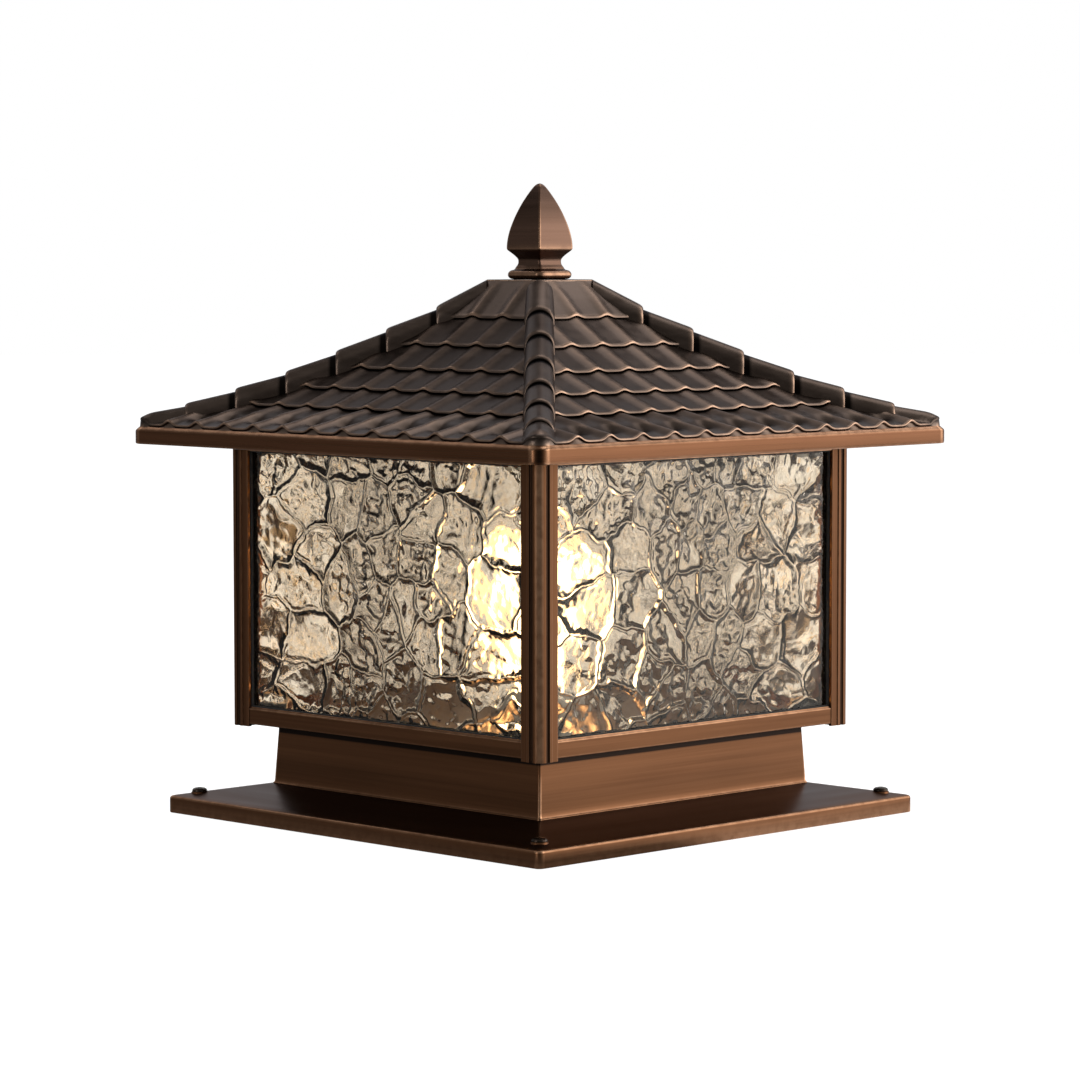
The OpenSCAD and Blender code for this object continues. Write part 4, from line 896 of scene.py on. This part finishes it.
def camera():
    """The photograph's view, corner-on and through a long lens."""
    right, away, up = Vector((1, 1, 0)).normalized(), Vector((-1, 1, 0)).normalized(), Vector((0, 0, 1))
    yaw, pitch, roll = math.radians(-0.11), math.radians(4.19), math.radians(0.05)
    look = (away * math.cos(yaw) + right * math.sin(yaw)) * math.cos(pitch) - up * math.sin(pitch)
    level = look.cross(up).normalized()
    upright = level.cross(look)
    above = upright * math.cos(roll) + level * math.sin(roll)
    across = level * math.cos(roll) - upright * math.sin(roll)
    data = bpy.data.cameras.new("camera")
    data.sensor_width = SENSOR
    data.lens = FOCAL_PX / FRAME_PX * SENSOR
    data.clip_start, data.clip_end = 0.05, 60
    cam = bpy.data.objects.new("camera", data)
    turn = Matrix((across, above, -look)).transposed().to_4x4()
    cam.matrix_world = Matrix.Translation(right * EYE_RIGHT - away * EYE_BACK + up * EYE_UP) @ turn
    bpy.context.scene.collection.objects.link(cam)
    bpy.context.scene.camera = cam


def seen_factors(n):
    """1 for camera rays, for rays of a reflection and for rays through glass."""
    path = n.make("LightPath")
    return [path.outputs[f"Is {kind} Ray"] for kind in ("Camera", "Glossy", "Transmission")]


def toward(n, vector, axis):
    node = n.make("VectorMath", {0: vector, 1: axis}, operation="DOT_PRODUCT")
    return node.outputs["Value"]


def set_level(n, direction, behind, right, room, dark):
    """Brightness of the set for reflections: lit behind and on the right, dim round the camera."""
    back = toward(n, direction, AWAY)
    level = n.span(back, -0.93, -0.76, dark, room)
    level = n.math("MAXIMUM", level, n.span(back, 0.68, 0.93, dark, behind))
    return n.math("MAXIMUM", level, n.span(toward(n, direction, RIGHT), 0.5, 0.75, dark, right))


def beyond(n, direction):
    """What the glass lets through: a painted amber glow straight behind, white a little off it, and painted
    brown shadows in its middle and further off.
    """
    spots = n.make("TexNoise", {"Vector": direction, "Scale": 19.0, "Detail": 1.0, "Distortion": 0.6})
    back = n.math("ABSOLUTE", toward(n, direction, AWAY))
    side = n.math("ABSOLUTE", toward(n, direction, RIGHT))
    off_axis = n.math("MINIMUM", back, side)
    shade = n.span(off_axis, 0.01, 0.028, 0.02, 0.12)
    patches = n.span(n.math("SUBTRACT", spots.outputs[0], shade), 0.41, 0.49)
    aside = n.span(off_axis, 0.046, 0.056)
    clear = n.math("MAXIMUM", patches, aside)
    clear = n.math("MULTIPLY", clear, n.span(n.math("MAXIMUM", back, side), 0.968, 0.988))
    # Amber straight through is a painted glow; white a little off it.
    white = n.mix(n.span(off_axis, 0.012, 0.045), (2.1, 1.4, 0.72), (1.54, 1.45, 1.33))
    return n.mix(clear, (0.06, 0.034, 0.018), white)


def floor():
    """Pale floor. Reflections see it lit as the room over it is."""
    n = Nodes("floor_pale")
    grain = n.span(n.noise(3.0, detail=2.0), 0.3, 0.7, 0.0, 1.0)
    matt = n.make("BsdfDiffuse", {"Color": n.mix(grain, (0.84, 0.84, 0.83), (0.86, 0.86, 0.85))})
    glow = n.make("Emission", {"Color": (1, 1, 1), "Strength": 1.7})
    bright = n.make("MixShader", {0: 0.55, 1: matt.outputs[0], 2: glow.outputs[0]})
    place = n.make("TexCoord").outputs["Object"]
    outward = n.make("VectorMath", {0: place}, operation="NORMALIZE").outputs["Vector"]
    lit = set_level(n, outward, 1.0, 1.9, 0.3, 0.22)
    mirrored = n.make("Emission", {"Color": (1, 1, 1), "Strength": lit})
    # Through glass the floor shows the painted amber glow and painted brown shadows of beyond().
    through = n.make("Emission", {"Color": beyond(n, outward), "Strength": 1.0})
    camera_ray, glossy_ray, through_ray = seen_factors(n)
    shown = n.make("MixShader", {0: glossy_ray, 1: matt.outputs[0], 2: mirrored.outputs[0]})
    shown = n.make("MixShader", {0: through_ray, 1: shown.outputs[0], 2: through.outputs[0]})
    shown = n.make("MixShader", {0: camera_ray, 1: shown.outputs[0], 2: bright.outputs[0]})
    look = n.done(shown.outputs[0])
    mesh = bpy.data.meshes.new("floor")
    a = np.linspace(0, 2 * math.pi, FLOOR_SIDES + 1)[:-1]
    verts = [(FLOOR_R * math.cos(t), FLOOR_R * math.sin(t), FLOOR_Z) for t in a]
    mesh.from_pydata(verts, [], [tuple(range(FLOOR_SIDES))])
    mesh.materials.append(look)
    obj = bpy.data.objects.new("floor", mesh)
    bpy.context.scene.collection.objects.link(obj)


def softbox(name, place, width, height, glow, colour=(1, 1, 1)):
    """Area lamp whose surface has the brightness glow."""
    data = bpy.data.lights.new(name, "AREA")
    data.shape = "RECTANGLE"
    data.size, data.size_y = width, height
    data.energy = glow * math.pi * width * height
    data.color = colour
    obj = bpy.data.objects.new(name, data)
    bpy.context.scene.collection.objects.link(obj)
    obj.location = place
    obj.rotation_mode = "QUATERNION"
    obj.rotation_quaternion = (AIM_AT - Vector(place)).to_track_quat("-Z", "Y")
    obj.visible_camera = False
    obj.visible_transmission = False


def world():
    """White behind the object. Reflections see it fall off to a dim room elsewhere; glass sees the painted
    glow and painted brown shadows of beyond().
    """
    made = bpy.data.worlds.new("studio")
    made.use_nodes = True
    bpy.context.scene.world = made
    n = Nodes(tree=made.node_tree)
    back = n.make("Background")
    direction = n.make("TexCoord").outputs["Generated"]
    lit = n.math("MAXIMUM", set_level(n, direction, 1.0, 1.2, 0.36, 0.2),
                 n.span(toward(n, direction, STRIP), 0.955, 0.985, 0.0, 2.2))
    mirrored = n.mix(n.math("MULTIPLY", lit, 0.4), (0, 0, 0), (2.5, 2.5, 2.5))
    camera_ray, glossy_ray, through_ray = seen_factors(n)
    shown = n.mix(glossy_ray, (0.42, 0.43, 0.45), mirrored)
    shown = n.mix(through_ray, shown, beyond(n, direction))
    n.put(back.inputs["Color"], n.mix(camera_ray, shown, (1, 1, 1)))
    n.done(back.outputs[0])


camera()
floor()
world()
softbox("key_right", (1.75, 1.75, 0.95), 2.4, 1.9, 3.0, (1.0, 0.96, 0.92))
softbox("top_soft", (-0.2, 1.0, 2.5), 1.6, 1.6, 2.0)
softbox("strip_left", (-0.21, -2.42, 0.85), 0.5, 1.7, 3.0)
softbox("rim_left", (-2.1, -0.2, 2.0), 0.8, 0.8, 1.6)
softbox("rim_right", (0.2, 2.1, 2.0), 0.8, 0.8, 3.0)

bpy.context.scene.view_settings.view_transform = "Standard"
